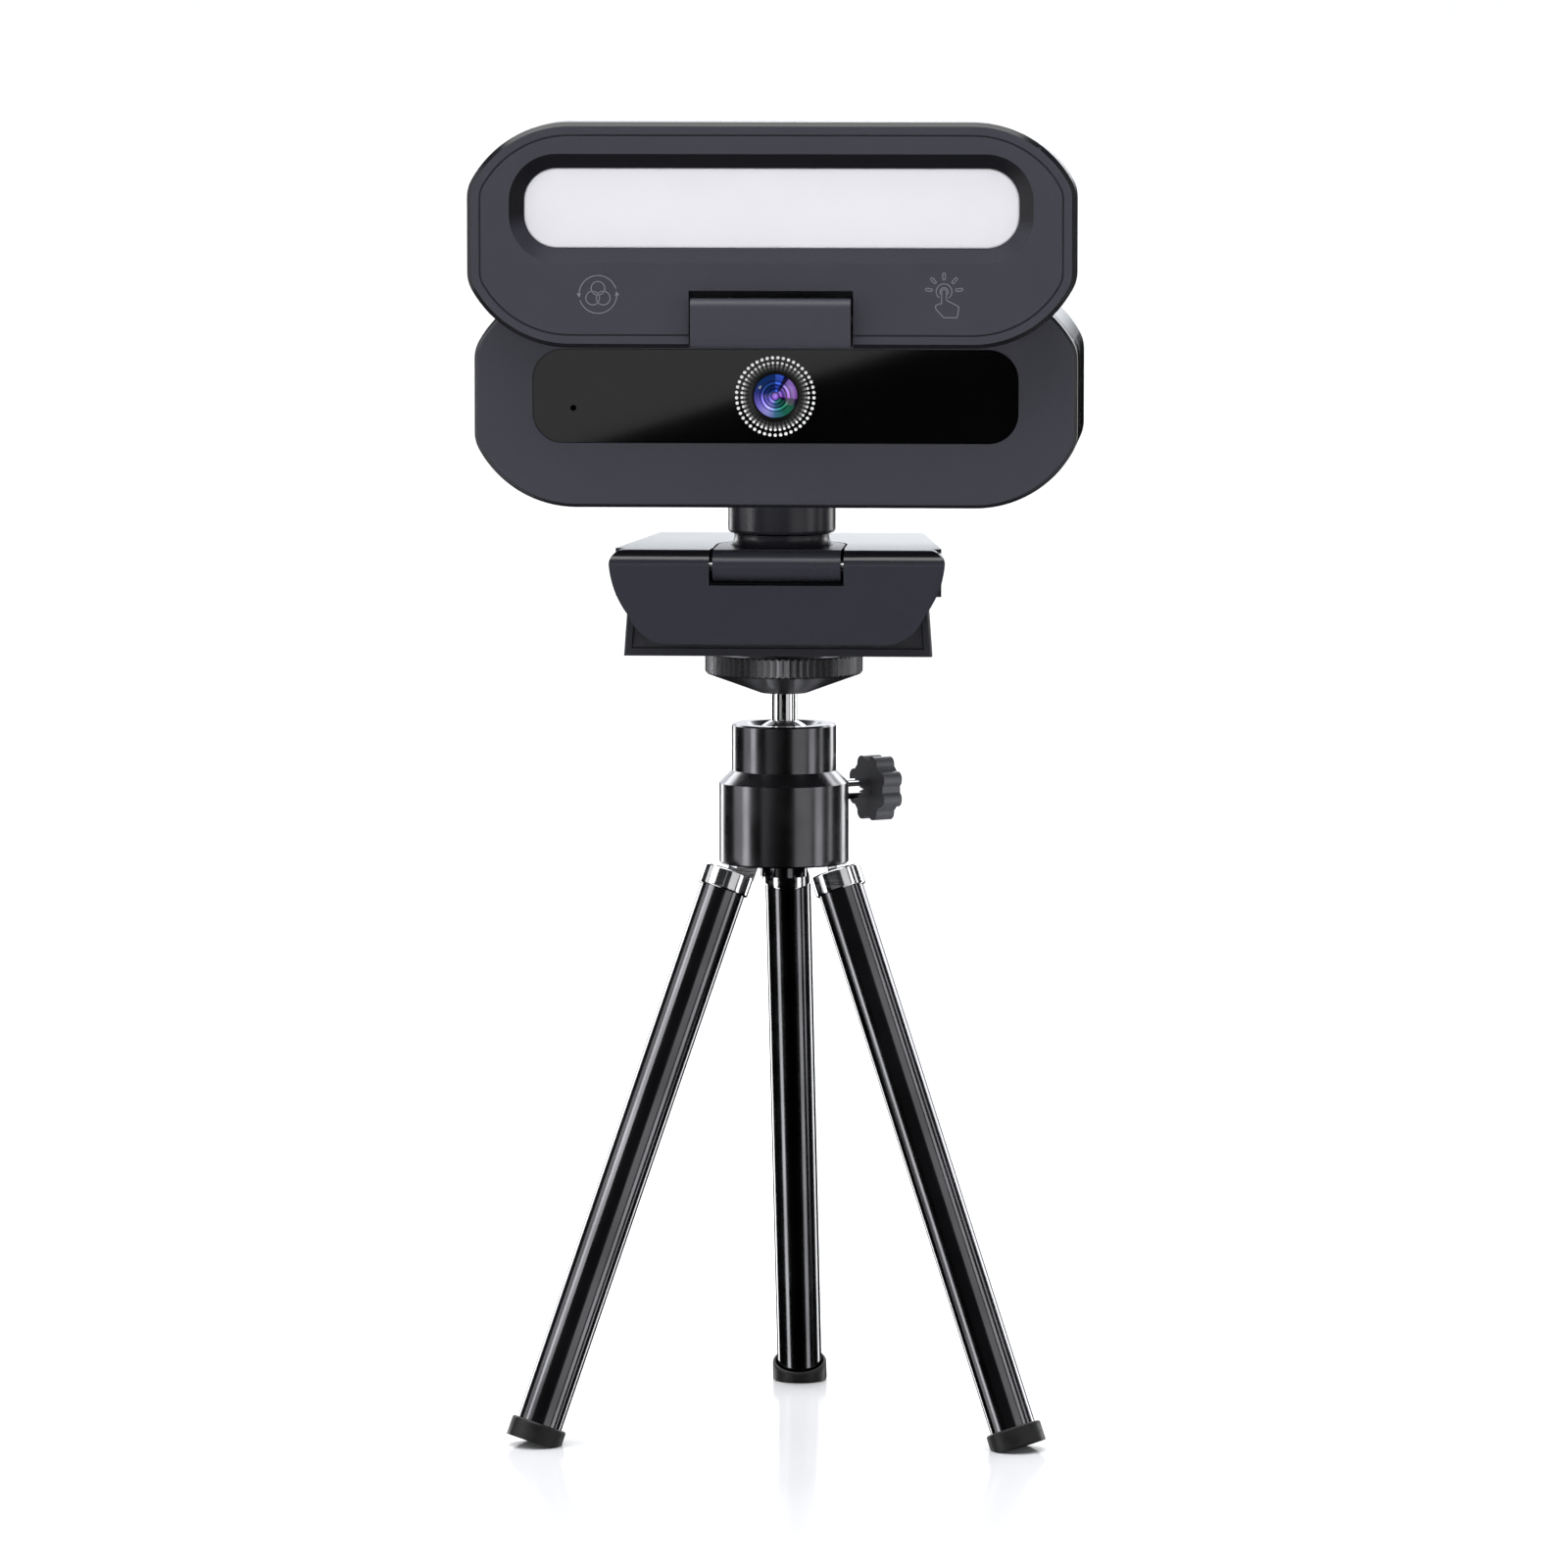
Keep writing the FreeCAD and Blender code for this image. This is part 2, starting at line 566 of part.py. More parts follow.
def arm_cover():
    """Cover let into the top of the arm, following its step."""
    swept = arm_profile()
    lowered = swept.copy()
    lowered.translate(Vector(0, 0.7, -ARM_SKIN))
    area = plan_prism(RAIL_T + 2.1, FOOT_PLATE_BACK + 1.2, 12.5, 138, 150)
    return swept.cut(lowered).common(area)


def clamp_arm():
    plan = plan_prism(RAIL_T + 0.9, FOOT_PLATE_BACK, PLATE_BACK, 130, 150)
    arm = arm_profile().common(plan)
    hollow = plan_prism(RAIL_T + 3.2, -4.0, 12.0, ARM_PIN_Z - ARM_BARREL_R + 1.6, ARM_TOP - ARM_SKIN)
    boss_low = z_rod(BOSS_R, 0, 0, FOOT_PLATE_BOTTOM, ARM_PIN_Z - ARM_BARREL_R + 1)
    boss_high = z_rod(INSERT_R + 1, 0, 0, ARM_PIN_Z - ARM_BARREL_R, ARM_TOP - ARM_SKIN)
    cuts = [z_rod(INSERT_R, 0, 0, FOOT_PLATE_BOTTOM - 1, INSERT_TOP),
            x_rod(ARM_PIN_R, -25, 25, ARM_PIN_Y, ARM_PIN_Z),
            box(-9, 9, FOOT_PLATE_BACK, FOOT_PLATE_BACK + 0.8, ARM_STEP_TOP - 2, ARM_STEP_TOP + 1)]
    for side in (-1, 1):
        near = min(side * (KNUCKLE_IN - 0.3), side * 30)
        far = max(side * (KNUCKLE_IN - 0.3), side * 30)
        cuts.append(box(near, far, ARM_PIN_Y - ARM_BARREL_R - 0.8, PLATE_BACK + 2, 130, 150))
    return arm.cut(hollow).fuse([boss_low, boss_high]).cut(cuts).cut(arm_cover())


def foot_plate_prism(inset, y0, y1):
    """Flared plate: slightly wider at its foot."""
    top_half = 24.8 - inset
    bottom_half = 25.7 - inset
    low = FOOT_PLATE_BOTTOM + inset
    high = FOOT_PLATE_TOP - inset
    corners = [Vector(-bottom_half, y0, low), Vector(bottom_half, y0, low),
               Vector(top_half, y0, high), Vector(-top_half, y0, high)]
    return prism(corners, Vector(0, y1 - y0, 0))


def foot_plate():
    plate = foot_plate_prism(0, FOOT_PLATE_FRONT, FOOT_PLATE_BACK)
    outer = edges_at(plate, "Y", FOOT_PLATE_FRONT)
    plate = plate.makeFillet(0.35, outer)
    return plate.cut(foot_plate_prism(1.3, FOOT_PLATE_FRONT - 1, FOOT_PLATE_FRONT + 1.0))


def foot_pad():
    return foot_plate_prism(1.45, FOOT_PLATE_FRONT + 0.25, FOOT_PLATE_FRONT + 1.0)


def thread_insert():
    return z_rod(INSERT_R, 0, 0, FOOT_PLATE_BOTTOM, INSERT_TOP).cut(z_rod(STUD_R, 0, 0, 131, 138.6))


def make_clamp():
    save("clamp_arm", clamp_arm())
    save("arm_cover", arm_cover())
    save("foot_plate", foot_plate())
    save("foot_pad", foot_pad())
    save("thread_insert", thread_insert())
    save("arm_pin", x_rod(ARM_PIN_R, -20.4, 20.4, ARM_PIN_Y, ARM_PIN_Z))
    save("clamp_platform", clamp_platform())
    save("jaw_pad", jaw_pad())
    save("tilt_tongue", tilt_tongue())
    save("tongue_pin", x_rod(1.0, -14.5, 14.5, TILT_Y, TILT_Z))


# ---------------------------------------------------------------- camera

def front_bezel():
    bezel = case_slab(0, CAM_FRONT, BEZEL_BACK, CAM_Z)
    bezel = bezel.makeFillet(0.9, edges_at(bezel, "Y", CAM_FRONT))
    cuts = [round_slab(WINDOW_W, WINDOW_H, WINDOW_R, CAM_FRONT - 1, CAM_FRONT + 1.25, CAM_Z),
            y_rod(LENS_RING_R, 0, CAM_FRONT, BEZEL_BACK, CAM_Z),
            y_rod(1.2, MIC_X, CAM_FRONT, BEZEL_BACK, MIC_Z),
            case_slab(WALL, CAM_FRONT + 2.4, BEZEL_BACK, CAM_Z)]
    return bezel.cut(cuts)


def window():
    pane = round_slab(WINDOW_W - 0.2, WINDOW_H - 0.2, WINDOW_R - 0.1,
                      CAM_FRONT + 0.15, CAM_FRONT + 1.25, CAM_Z)
    return pane.cut([y_rod(LENS_RING_R, 0, CAM_FRONT - 1, CAM_FRONT + 2, CAM_Z),
                     y_rod(0.5, MIC_X, CAM_FRONT - 1, CAM_FRONT + 2, MIC_Z)])


def lens_ring():
    front = CAM_FRONT - 0.2
    return lens_lathe([(BARREL_R, front + 0.15), (BARREL_R + 0.15, front), (LENS_RING_R - 0.15, front),
                       (LENS_RING_R, front + 0.15), (LENS_RING_R, CAM_FRONT + 2.4),
                       (BARREL_R, CAM_FRONT + 2.4)])


def lens_barrel():
    """Stepped black barrel that holds the glass."""
    front = CAM_FRONT - 0.1
    return lens_lathe([(4.35, front), (BARREL_R, front), (BARREL_R, -15.2), (2.6, -15.2), (2.6, -21.2),
                       (GLASS_R, -21.2), (GLASS_R, front + 1.1), (GLASS_R + 0.2, front + 1.1),
                       (GLASS_R + 0.2, front + 0.55), (4.35, front + 0.35)])


def lens_glass():
    """Front element: flat at the back, domed in front."""
    back = -22.3
    disc = y_rod(GLASS_R, 0, -24.5, back, CAM_Z)
    dome = Part.makeSphere(7.5, Vector(0, -24.35 + 7.5, CAM_Z))
    return disc.common(dome)


def rear_lens():
    disc = y_rod(2.6, 0, -21.0, -19.4, CAM_Z)
    return disc.common(Part.makeSphere(4.2, Vector(0, -21.0 + 4.2, CAM_Z)))


def lens_holder():
    outer = box(-7, 7, -19.4, BOARD_FRONT, CAM_Z - 7, CAM_Z + 7)
    return outer.cut([y_rod(BARREL_R, 0, -20, -15.2, CAM_Z),
                      box(-5, 5, -15.2, BOARD_FRONT, CAM_Z - 5, CAM_Z + 5)])


def board_chips():
    back = BOARD_BACK
    return group([box(-6, 6, back, back + 1.2, CAM_Z - 6, CAM_Z + 6),
                  box(14, 22, back, back + 1.0, CAM_Z - 3, CAM_Z + 3),
                  box(-24, -16, back, back + 1.0, CAM_Z - 5, CAM_Z + 1),
                  box(-32, -29, back, back + 1.6, CAM_Z + 3, CAM_Z + 7),
                  box(-4, 4, back, back + 4.5, CAM_Z - 12, CAM_Z - 8)])


def mid_band():
    band = case_slab(0, BEZEL_BACK, BAND_BACK, CAM_Z)
    band = band.makeFillet(0.25, edges_at(band, "Y", BEZEL_BACK) + edges_at(band, "Y", BAND_BACK))
    band = band.cut(case_slab(WALL, BEZEL_BACK, BAND_BACK, CAM_Z))
    vents = []
    for side in (-1, 1):
        for up in (-1, 1):
            vent = box(CASE_H / 2 - WALL - 1, CASE_H / 2 + 1, BEZEL_BACK + 0.9, BEZEL_BACK + 2.4, -5, 5)
            vent.rotate(ORIGIN, Y, -47 * up)
            if side < 0:
                vent = vent.mirror(ORIGIN, X)
            vent.translate(Vector(side * CASE_ARC_X, 0, CAM_Z))
            vents.append(vent)
    return band.cut(vents)


def rear_casing():
    casing = case_slab(0, BAND_BACK, CAM_BACK, CAM_Z)
    casing = casing.makeFillet(0.25, edges_at(casing, "Y", BAND_BACK))
    casing = casing.makeFillet(2.6, edges_at(casing, "Y", CAM_BACK))
    casing = casing.cut(case_slab(WALL, BAND_BACK, CAM_BACK - WALL, CAM_Z))
    posts = []
    holes = [y_rod(3.0, 0, CAM_BACK - 5, CAM_BACK + 1, CAM_Z - 11)]
    for x, z in screw_places():
        posts.append(y_rod(2.8, x, BAND_BACK, CAM_BACK - WALL + 0.5, z))
        holes.append(y_rod(1.0, x, BAND_BACK - 1, CAM_BACK, z))
        holes.append(y_rod(1.9, x, CAM_BACK - 3.2, CAM_BACK + 1, z))
    return casing.fuse(posts).cut(holes)


def screw_places():
    return [(side * 38.0, CAM_Z + up * 8.5) for side in (-1, 1) for up in (-1, 1)]


def case_screws():
    screws = []
    for x, z in screw_places():
        head = y_rod(1.85, x, CAM_BACK - 3.2, CAM_BACK - 1.8, z)
        slot = [box(x - 1.1, x + 1.1, CAM_BACK - 2.4, CAM_BACK - 1, z - 0.25, z + 0.25),
                box(x - 0.25, x + 0.25, CAM_BACK - 2.4, CAM_BACK - 1, z - 1.1, z + 1.1)]
        screws.append(head.fuse(y_rod(1.0, x, 2.0, CAM_BACK - 3.2, z)).cut(slot))
    return group(screws)


def cable_gland():
    """Rubber bush of the cord's inlet, with its blind hole."""
    z = CAM_Z - 11
    bush = y_rod(3.0, 0, CAM_BACK - 2.4, CAM_BACK + 2.0, z)
    bush = bush.fuse(y_rod(4.2, 0, CAM_BACK - WALL - 1.2, CAM_BACK - WALL, z))
    bush = bush.makeFillet(0.5, edges_at(bush, "Y", CAM_BACK + 2.0))
    return bush.cut(y_rod(1.7, 0, CAM_BACK - 1.5, CAM_BACK + 3, z))


def neck_collar():
    """Collar under the camera with the pivot that turns in the tongue's flare."""
    body_bottom = CAM_Z - CASE_H / 2
    collar = z_rod(NECK_COLLAR_R, 0, NECK_Y, COLLAR_BOTTOM, body_bottom)
    collar = collar.makeFillet(0.6, edges_at(collar, "Z", COLLAR_BOTTOM))
    pivot = z_rod(4.5, 0, NECK_Y, 150.7, COLLAR_BOTTOM)
    return collar.fuse(pivot).removeSplitter().cut(z_rod(1.5, 0, NECK_Y, 150, 156))


def neck_screw():
    return z_rod(2.8, 0, NECK_Y, 148.1, 149.15).fuse(z_rod(1.5, 0, NECK_Y, 149.1, 155.8)).removeSplitter()


def hinge_block():
    """Square knuckle on a short bracket, in front of the camera's top edge."""
    block = box(-HINGE_BLOCK_HALF, HINGE_BLOCK_HALF, HINGE_Y - HINGE_HALF, HINGE_Y + HINGE_HALF,
                HINGE_Z - HINGE_HALF, HINGE_Z + HINGE_HALF)
    long_edges = [edge for edge in block.Edges if edge.Length > HINGE_BLOCK_HALF * 1.9]
    block = block.makeFillet(1.5, long_edges)
    bracket = box(-10, 10, HINGE_Y + HINGE_HALF - 1, CAM_FRONT, HINGE_Z - 3.2, HINGE_Z + 0.4)
    block = block.fuse(bracket).removeSplitter()
    return block.cut(x_rod(LIGHT_PIN_R, -20, 20, HINGE_Y, HINGE_Z))


def make_camera():
    save("front_bezel", front_bezel())
    save("window", window())
    save("lens_ring", lens_ring())
    save("lens_barrel", lens_barrel())
    save("lens_glass", lens_glass())
    save("rear_lens", rear_lens())
    save("lens_holder", lens_holder())
    save("image_sensor", box(-4, 4, -15.0, BOARD_FRONT, CAM_Z - 4, CAM_Z + 4))
    save("main_board", box(-42, 42, BOARD_FRONT, BOARD_BACK, CAM_Z - 12.5, CAM_Z + 12.5))
    save("board_chips", board_chips())
    save("microphone", y_rod(2.2, MIC_X, -16.0, BOARD_FRONT, MIC_Z))
    save("mid_band", mid_band())
    save("rear_casing", rear_casing())
    save("case_screws", case_screws())
    save("cable_gland", cable_gland())
    save("neck_collar", neck_collar())
    save("neck_screw", neck_screw())
    save("hinge_block", hinge_block())
    save("light_hinge_pin", x_rod(LIGHT_PIN_R, -18.4, 18.4, HINGE_Y, HINGE_Z))


# ---------------------------------------------------------------- light

def hinge_notch():
    return box(-HINGE_NOTCH_HALF, HINGE_NOTCH_HALF, LIGHT_FRONT - 1, LIGHT_BACK + 1,
               LIGHT_Z - CASE_H / 2 - 1, HINGE_NOTCH_TOP)


def light_front():
    """Front shell: chamfered rim, hairline groove, sloping recess round the diffuser."""
    shell = case_slab(0, LIGHT_FRONT, LIGHT_SEAM, LIGHT_Z)
    shell = shell.makeChamfer(0.7, edges_at(shell, "Y", LIGHT_FRONT))
    groove = case_slab(GROOVE_INSET, LIGHT_FRONT - 1, LIGHT_FRONT + 0.3, LIGHT_Z)
    groove = groove.cut(case_slab(GROOVE_INSET + GROOVE_W, LIGHT_FRONT - 1, LIGHT_FRONT + 0.3, LIGHT_Z))
    rim = round_wire(GLOW_W + 2 * BEVEL, GLOW_H + 2 * BEVEL, GLOW_R + BEVEL, LIGHT_FRONT - 0.001, GLOW_Z)
    slope = Part.makeLoft([rim, round_wire(GLOW_W, GLOW_H, GLOW_R, GLOW_FRONT, GLOW_Z)], True)
    cuts = [groove, slope, round_slab(GLOW_W, GLOW_H, GLOW_R, GLOW_FRONT, LIGHT_SEAM, GLOW_Z), hinge_notch(),
            x_rod(LIGHT_PIN_R + FIT, -18.6, 18.6, HINGE_Y, HINGE_Z)]
    return shell.cut(cuts)


def light_back():
    shell = case_slab(0, LIGHT_SEAM, LIGHT_BACK, LIGHT_Z)
    shell = shell.makeFillet(0.25, edges_at(shell, "Y", LIGHT_SEAM))
    shell = shell.makeFillet(1.0, edges_at(shell, "Y", LIGHT_BACK))
    room = case_slab(WALL, LIGHT_SEAM, LIGHT_BACK - 1.8, LIGHT_Z)
    frame = HINGE_NOTCH_HALF + 2
    room = room.cut(box(-frame, frame, LIGHT_SEAM - 1, LIGHT_BACK, LIGHT_Z - CASE_H / 2, HINGE_NOTCH_TOP + 2))
    return shell.cut([room, hinge_notch()])


def diffuser():
    pane = round_slab(GLOW_W - 0.1, GLOW_H - 0.1, GLOW_R - 0.05, GLOW_FRONT, LIGHT_SEAM, GLOW_Z)
    return pane.makeFillet(0.4, edges_at(pane, "Y", GLOW_FRONT))


def reflector_frame():
    outer = round_slab(GLOW_W + 4, GLOW_H + 4, GLOW_R + 2, LIGHT_SEAM, -30.0, GLOW_Z)
    return outer.cut(round_slab(GLOW_W - 1, GLOW_H - 1, GLOW_R - 0.5, LIGHT_SEAM, -30.0, GLOW_Z))


def leds():
    pitch = (GLOW_W - 8) / (LED_COUNT - 1)
    chips = []
    for step in range(LED_COUNT):
        x = (step - (LED_COUNT - 1) / 2) * pitch
        chips.append(box(x - 1.4, x + 1.4, -30.8, -30.0, GLOW_Z - 0.9, GLOW_Z + 0.9))
    return group(chips)


def make_light():
    save("light_front", light_front())
    save("light_back", light_back())
    save("diffuser", diffuser())
    save("reflector_frame", reflector_frame())
    save("led_board", round_slab(GLOW_W + 4, GLOW_H + 4, GLOW_R + 2, -30.0, -29.0, GLOW_Z))
    save("leds", leds())
    save("touch_pads", group([y_rod(3.2, side * TOUCH_X, LIGHT_SEAM, LIGHT_SEAM + 0.3, TOUCH_Z)
                              for side in (-1, 1)]))


os.makedirs("parts", exist_ok=True)
make_legs()
make_head()
make_clamp()
make_camera()
make_light()
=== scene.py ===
"""A webcam with a fold-down light on a mini tripod: finishes, printed marks and a plain studio."""

import json
import math

import bmesh
import bpy
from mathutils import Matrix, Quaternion, Vector


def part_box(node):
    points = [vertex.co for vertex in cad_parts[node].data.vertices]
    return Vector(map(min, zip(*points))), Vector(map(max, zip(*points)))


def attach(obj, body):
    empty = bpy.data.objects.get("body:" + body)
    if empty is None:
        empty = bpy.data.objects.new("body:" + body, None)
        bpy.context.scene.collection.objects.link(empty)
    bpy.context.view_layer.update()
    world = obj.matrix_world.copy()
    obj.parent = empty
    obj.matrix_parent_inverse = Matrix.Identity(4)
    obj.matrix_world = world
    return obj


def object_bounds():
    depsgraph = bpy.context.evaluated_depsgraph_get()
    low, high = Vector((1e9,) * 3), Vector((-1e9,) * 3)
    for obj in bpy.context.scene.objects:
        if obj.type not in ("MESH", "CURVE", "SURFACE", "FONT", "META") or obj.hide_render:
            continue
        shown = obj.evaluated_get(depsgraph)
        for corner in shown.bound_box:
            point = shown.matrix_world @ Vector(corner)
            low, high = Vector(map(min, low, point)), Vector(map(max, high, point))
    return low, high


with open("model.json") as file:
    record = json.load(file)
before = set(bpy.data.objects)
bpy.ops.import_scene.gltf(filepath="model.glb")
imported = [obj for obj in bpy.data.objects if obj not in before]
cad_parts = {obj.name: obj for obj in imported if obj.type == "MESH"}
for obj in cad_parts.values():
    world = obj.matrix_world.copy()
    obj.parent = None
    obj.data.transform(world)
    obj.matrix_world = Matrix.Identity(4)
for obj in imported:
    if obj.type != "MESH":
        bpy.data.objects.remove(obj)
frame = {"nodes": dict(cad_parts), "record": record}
CAD_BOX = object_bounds()
NODES = frame["nodes"]
MM = 0.001


# ---------------------------------------------------------------- places on the CAD model

LENS_LOW, LENS_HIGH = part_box("lens_glass")
LENS_CENTRE = (LENS_LOW + LENS_HIGH) / 2
LENS_RADIUS = (LENS_HIGH.x - LENS_LOW.x) / 2
RIM_LOW, RIM_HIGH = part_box("lens_ring")
RIM_RADIUS = (RIM_HIGH.x - RIM_LOW.x) / 2
STUD_LOW, STUD_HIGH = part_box("ball_stud")
AXIS_Y = STUD_LOW.lerp(STUD_HIGH, 0.5).y
WINDOW_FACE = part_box("window")[0].y
LIGHT_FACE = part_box("light_front")[0].y

# The recess round the diffuser: the height of its middle, and its half width and half height.
DIFFUSER_LOW, DIFFUSER_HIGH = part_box("diffuser")
BEVEL = 3.5 * MM
RECESS = ((DIFFUSER_LOW.z + DIFFUSER_HIGH.z) / 2, DIFFUSER_HIGH.x + BEVEL,
          (DIFFUSER_HIGH.z - DIFFUSER_LOW.z) / 2 + BEVEL)

# The printed dots round the lens: how many in a ring, each ring's radius with its dots' radius, and the
# widths and heights of a dot's low dome as shares. The phase turns the ticks on the lens surround by part
# of a step, so that they meet the dots.
DOT_COUNT = 45
DOT_PHASE = 0.25
DOT_RINGS = ((5.53 * MM, 0.24 * MM), (6.42 * MM, 0.28 * MM))
DOT_LIFT = 0.05 * MM
DOT_STEPS = 16
DOT_PROFILE = ((1.0, 0.0), (0.9, 0.6), (0.55, 0.95))


# ---------------------------------------------------------------- materials

NOISE_LOW = 0.3
NOISE_HIGH = 0.7


def add_node(tree, kind, **sockets):
    """A new node with some sockets set. An underscore in a socket's name stands for a space."""
    made = tree.nodes.new(kind)
    for name, value in sockets.items():
        made.inputs[name.replace("_", " ")].default_value = value
    return made


class Finish:
    """A node material under construction: the principled shader, and textures in the row frame's metres."""

    def __init__(self, name, rough, metal=0.0, ior=1.5):
        self.material = bpy.data.materials.new(name)
        self.material.use_nodes = True
        self.tree = self.material.node_tree
        self.shader = self.tree.nodes["Principled BSDF"]
        coordinates = self.node("ShaderNodeTexCoord")
        self.place = coordinates.outputs["Object"]
        self.facing = coordinates.outputs["Normal"]
        self.set(Roughness=rough, Metallic=metal, IOR=ior)

    def node(self, kind, **sockets):
        return add_node(self.tree, kind, **sockets)

    def link(self, source, target):
        self.tree.links.new(source, target)

    def set(self, **sockets):
        for name, value in sockets.items():
            self.shader.inputs[name.replace("_", " ")].default_value = value

    def math(self, operation, first, second=None):
        made = self.node("ShaderNodeMath")
        made.operation = operation
        for socket, value in zip(made.inputs, (first, second)):
            if isinstance(value, (int, float)):
                socket.default_value = value
            elif value is not None:
                self.link(value, socket)
        return made.outputs[0]

    def axes(self, vector):
        """The X, Y and Z of a vector, by name."""
        parts = self.node("ShaderNodeSeparateXYZ")
        self.link(vector, parts.inputs["Vector"])
        return parts.outputs

    def stretched(self, x, y, z):
        """The place, scaled differently along each axis."""
        mapping = self.node("ShaderNodeMapping", Scale=(x, y, z))
        self.link(self.place, mapping.inputs["Vector"])
        return mapping.outputs["Vector"]

    def noise(self, size, detail=2.0, along=None):
        """Soft noise whose patches are about size metres across."""
        made = self.node("ShaderNodeTexNoise", Scale=1 / size, Detail=detail)
        self.link(along or self.place, made.inputs["Vector"])
        return made.outputs["Fac"]

    def ramp(self, value, stops, smooth=False):
        """Colours along a value. Each stop is a place and a colour."""
        made = self.node("ShaderNodeValToRGB")
        made.color_ramp.interpolation = "EASE" if smooth else "LINEAR"
        elements = made.color_ramp.elements
        while len(elements) < len(stops):
            elements.new(0.5)
        for element, (place, colour) in zip(elements, stops):
            element.position = place
            element.color = (*colour, 1)
        self.link(value, made.inputs["Fac"])
        return made.outputs["Color"]

    def mask(self, value, off, on):
        """Black up to one value and white from another."""
        return self.ramp(value, [(off, grey(0)), (on, grey(1))])

    def colour(self, value, stops, smooth=False):
        self.link(self.ramp(value, stops, smooth), self.shader.inputs["Base Color"])

    def mixed(self, blend, share, first, second):
        """Two colours mixed, by a number or by a value from another node."""
        made = self.node("ShaderNodeMix")
        made.data_type = "RGBA"
        made.blend_type = blend
        if isinstance(share, float):
            made.inputs[0].default_value = share
        else:
            self.link(share, made.inputs[0])
        self.link(first, made.inputs[6])
        self.link(second, made.inputs[7])
        return made.outputs[2]

    def spread(self, value, low, high):
        """The usual range of a noise becomes a roughness of low to high, without an edge at either end."""
        made = self.node("ShaderNodeMapRange", From_Min=NOISE_LOW, From_Max=NOISE_HIGH,
                         To_Min=low, To_Max=high)
        made.interpolation_type = "SMOOTHSTEP"
        self.link(value, made.inputs["Value"])
        self.link(made.outputs["Result"], self.shader.inputs["Roughness"])

    def scaled(self, share, low, high, socket):
        """One of the shader's sockets goes from low to high as the share goes from 0 to 1."""
        made = self.node("ShaderNodeMapRange", To_Min=low, To_Max=high)
        self.link(share, made.inputs["Value"])
        self.link(made.outputs["Result"], self.shader.inputs[socket])

    def bump(self, height, depth, strength):
        """A height from 0 to 1, its depth in metres, and its strength."""
        made = self.node("ShaderNodeBump", Distance=depth, Strength=strength)
        self.link(height, made.inputs["Height"])
        self.link(made.outputs["Normal"], self.shader.inputs["Normal"])


def grey(level):
    return (level, level, level)


def tones(colour, spread):
    """A darker and a lighter tone of a colour, for soft patches."""
    darker = tuple(c * (1 - spread) for c in colour)
    lighter = tuple(c * (1 + spread) for c in colour)
    return [(NOISE_LOW, darker), (NOISE_HIGH, lighter)]


def moulded(name, colour, rough, grain, depth):
    """Moulded plastic with a fine spark-eroded grain, and slightly uneven gloss."""
    made = Finish(name, rough)
    made.colour(made.noise(9 * MM, 3), tones(colour, 0.02), smooth=True)
    made.spread(made.noise(12 * MM, 1), rough - 0.012, rough + 0.015)
    made.bump(made.noise(grain, 3), depth, 0.35)
    return made


def glossy(name, colour, rough, coat, wave, metallic=0.0, coat_rough=0.03):
    """Polished plastic, paint or dyed metal: a faint orange peel under a clear coat."""
    made = Finish(name, rough, metallic)
    made.set(Coat_Weight=coat, Coat_Roughness=coat_rough)
    made.colour(made.noise(14 * MM, 2), tones(colour, 0.15), smooth=True)
    made.spread(made.noise(6 * MM, 4), rough * 0.88, rough * 1.15)
    made.bump(made.noise(wave, 1), 0.004 * MM, 0.05)
    return made


def metal(name, colour, rough, turned=None):
    """Bare or plated metal, with fine scratches; turned pieces have marks round the axis."""
    made = Finish(name, rough, metal=1.0)
    made.colour(made.noise(5 * MM, 3), tones(colour, 0.05))
    marks = made.noise(0.12 * MM, 2, along=made.stretched(*turned) if turned else None)
    made.spread(marks, rough * 0.6, rough * 1.6)
    made.bump(marks, 0.002 * MM, 0.15)
    return made


def rubber(name, colour, rough):
    made = Finish(name, rough)
    made.set(Specular_IOR_Level=0.35)
    made.colour(made.noise(3 * MM, 4), tones(colour, 0.18))
    made.spread(made.noise(1.5 * MM, 3), rough - 0.08, rough + 0.08)
    made.bump(made.noise(0.25 * MM, 4), 0.03 * MM, 0.4)
    return made


def with_painted_edge_shade(name, colour, rough, grain, depth, recess=None, edge_rough=0.20, top=False, coat=0.0):
    """Satin front, and top if asked, with smoother edges painted near-black as shade.

    The slopes of a recess hardly shine, and its lower, up-facing one keeps much of the front's colour, as
    painted light from above.
    """
    made = Finish(name, rough)
    made.set(Coat_Weight=coat, Coat_Roughness=0.10)
    facing = made.axes(made.facing)
    front = made.math("MULTIPLY", facing["Y"], -1.0)
    if top:
        front = made.math("MAXIMUM", front, facing["Z"])
    flat = made.mask(front, 0.88, 0.985)
    if recess:
        height, half_x, half_z = recess
        place = made.axes(made.place)
        beside = made.math("LESS_THAN", made.math("ABSOLUTE", place["X"]), half_x)
        off = made.math("ABSOLUTE", made.math("SUBTRACT", place["Z"], height))
        inside = made.math("MULTIPLY", beside, made.math("LESS_THAN", off, half_z))
        sloped = made.math("MULTIPLY", inside, made.math("SUBTRACT", 1.0, flat))
        made.scaled(sloped, 0.5, 0.12, "Specular IOR Level")
        # Painted light: an up-facing slope inside the recess keeps most of the front's colour, as if lit from
        # above.
        painted_light_from_above = made.ramp(facing["Z"], [(0.02, grey(0)), (0.25, grey(0.72))])
        flat = made.math("MAXIMUM", flat, made.math("MULTIPLY", inside, painted_light_from_above))
    # Painted shade: sloped faces take a near-black colour in place of the front's.
    face = made.ramp(made.noise(9 * MM, 3), tones(colour, 0.02), smooth=True)
    edge_shade = made.ramp(made.noise(9 * MM, 3), tones(PAINTED_EDGE_SHADE, 0.02), smooth=True)
    made.link(made.mixed("MIX", flat, edge_shade, face), made.shader.inputs["Base Color"])
    made.scaled(flat, edge_rough, rough, "Roughness")
    made.bump(made.noise(grain, 3), depth, 0.35)
    return made


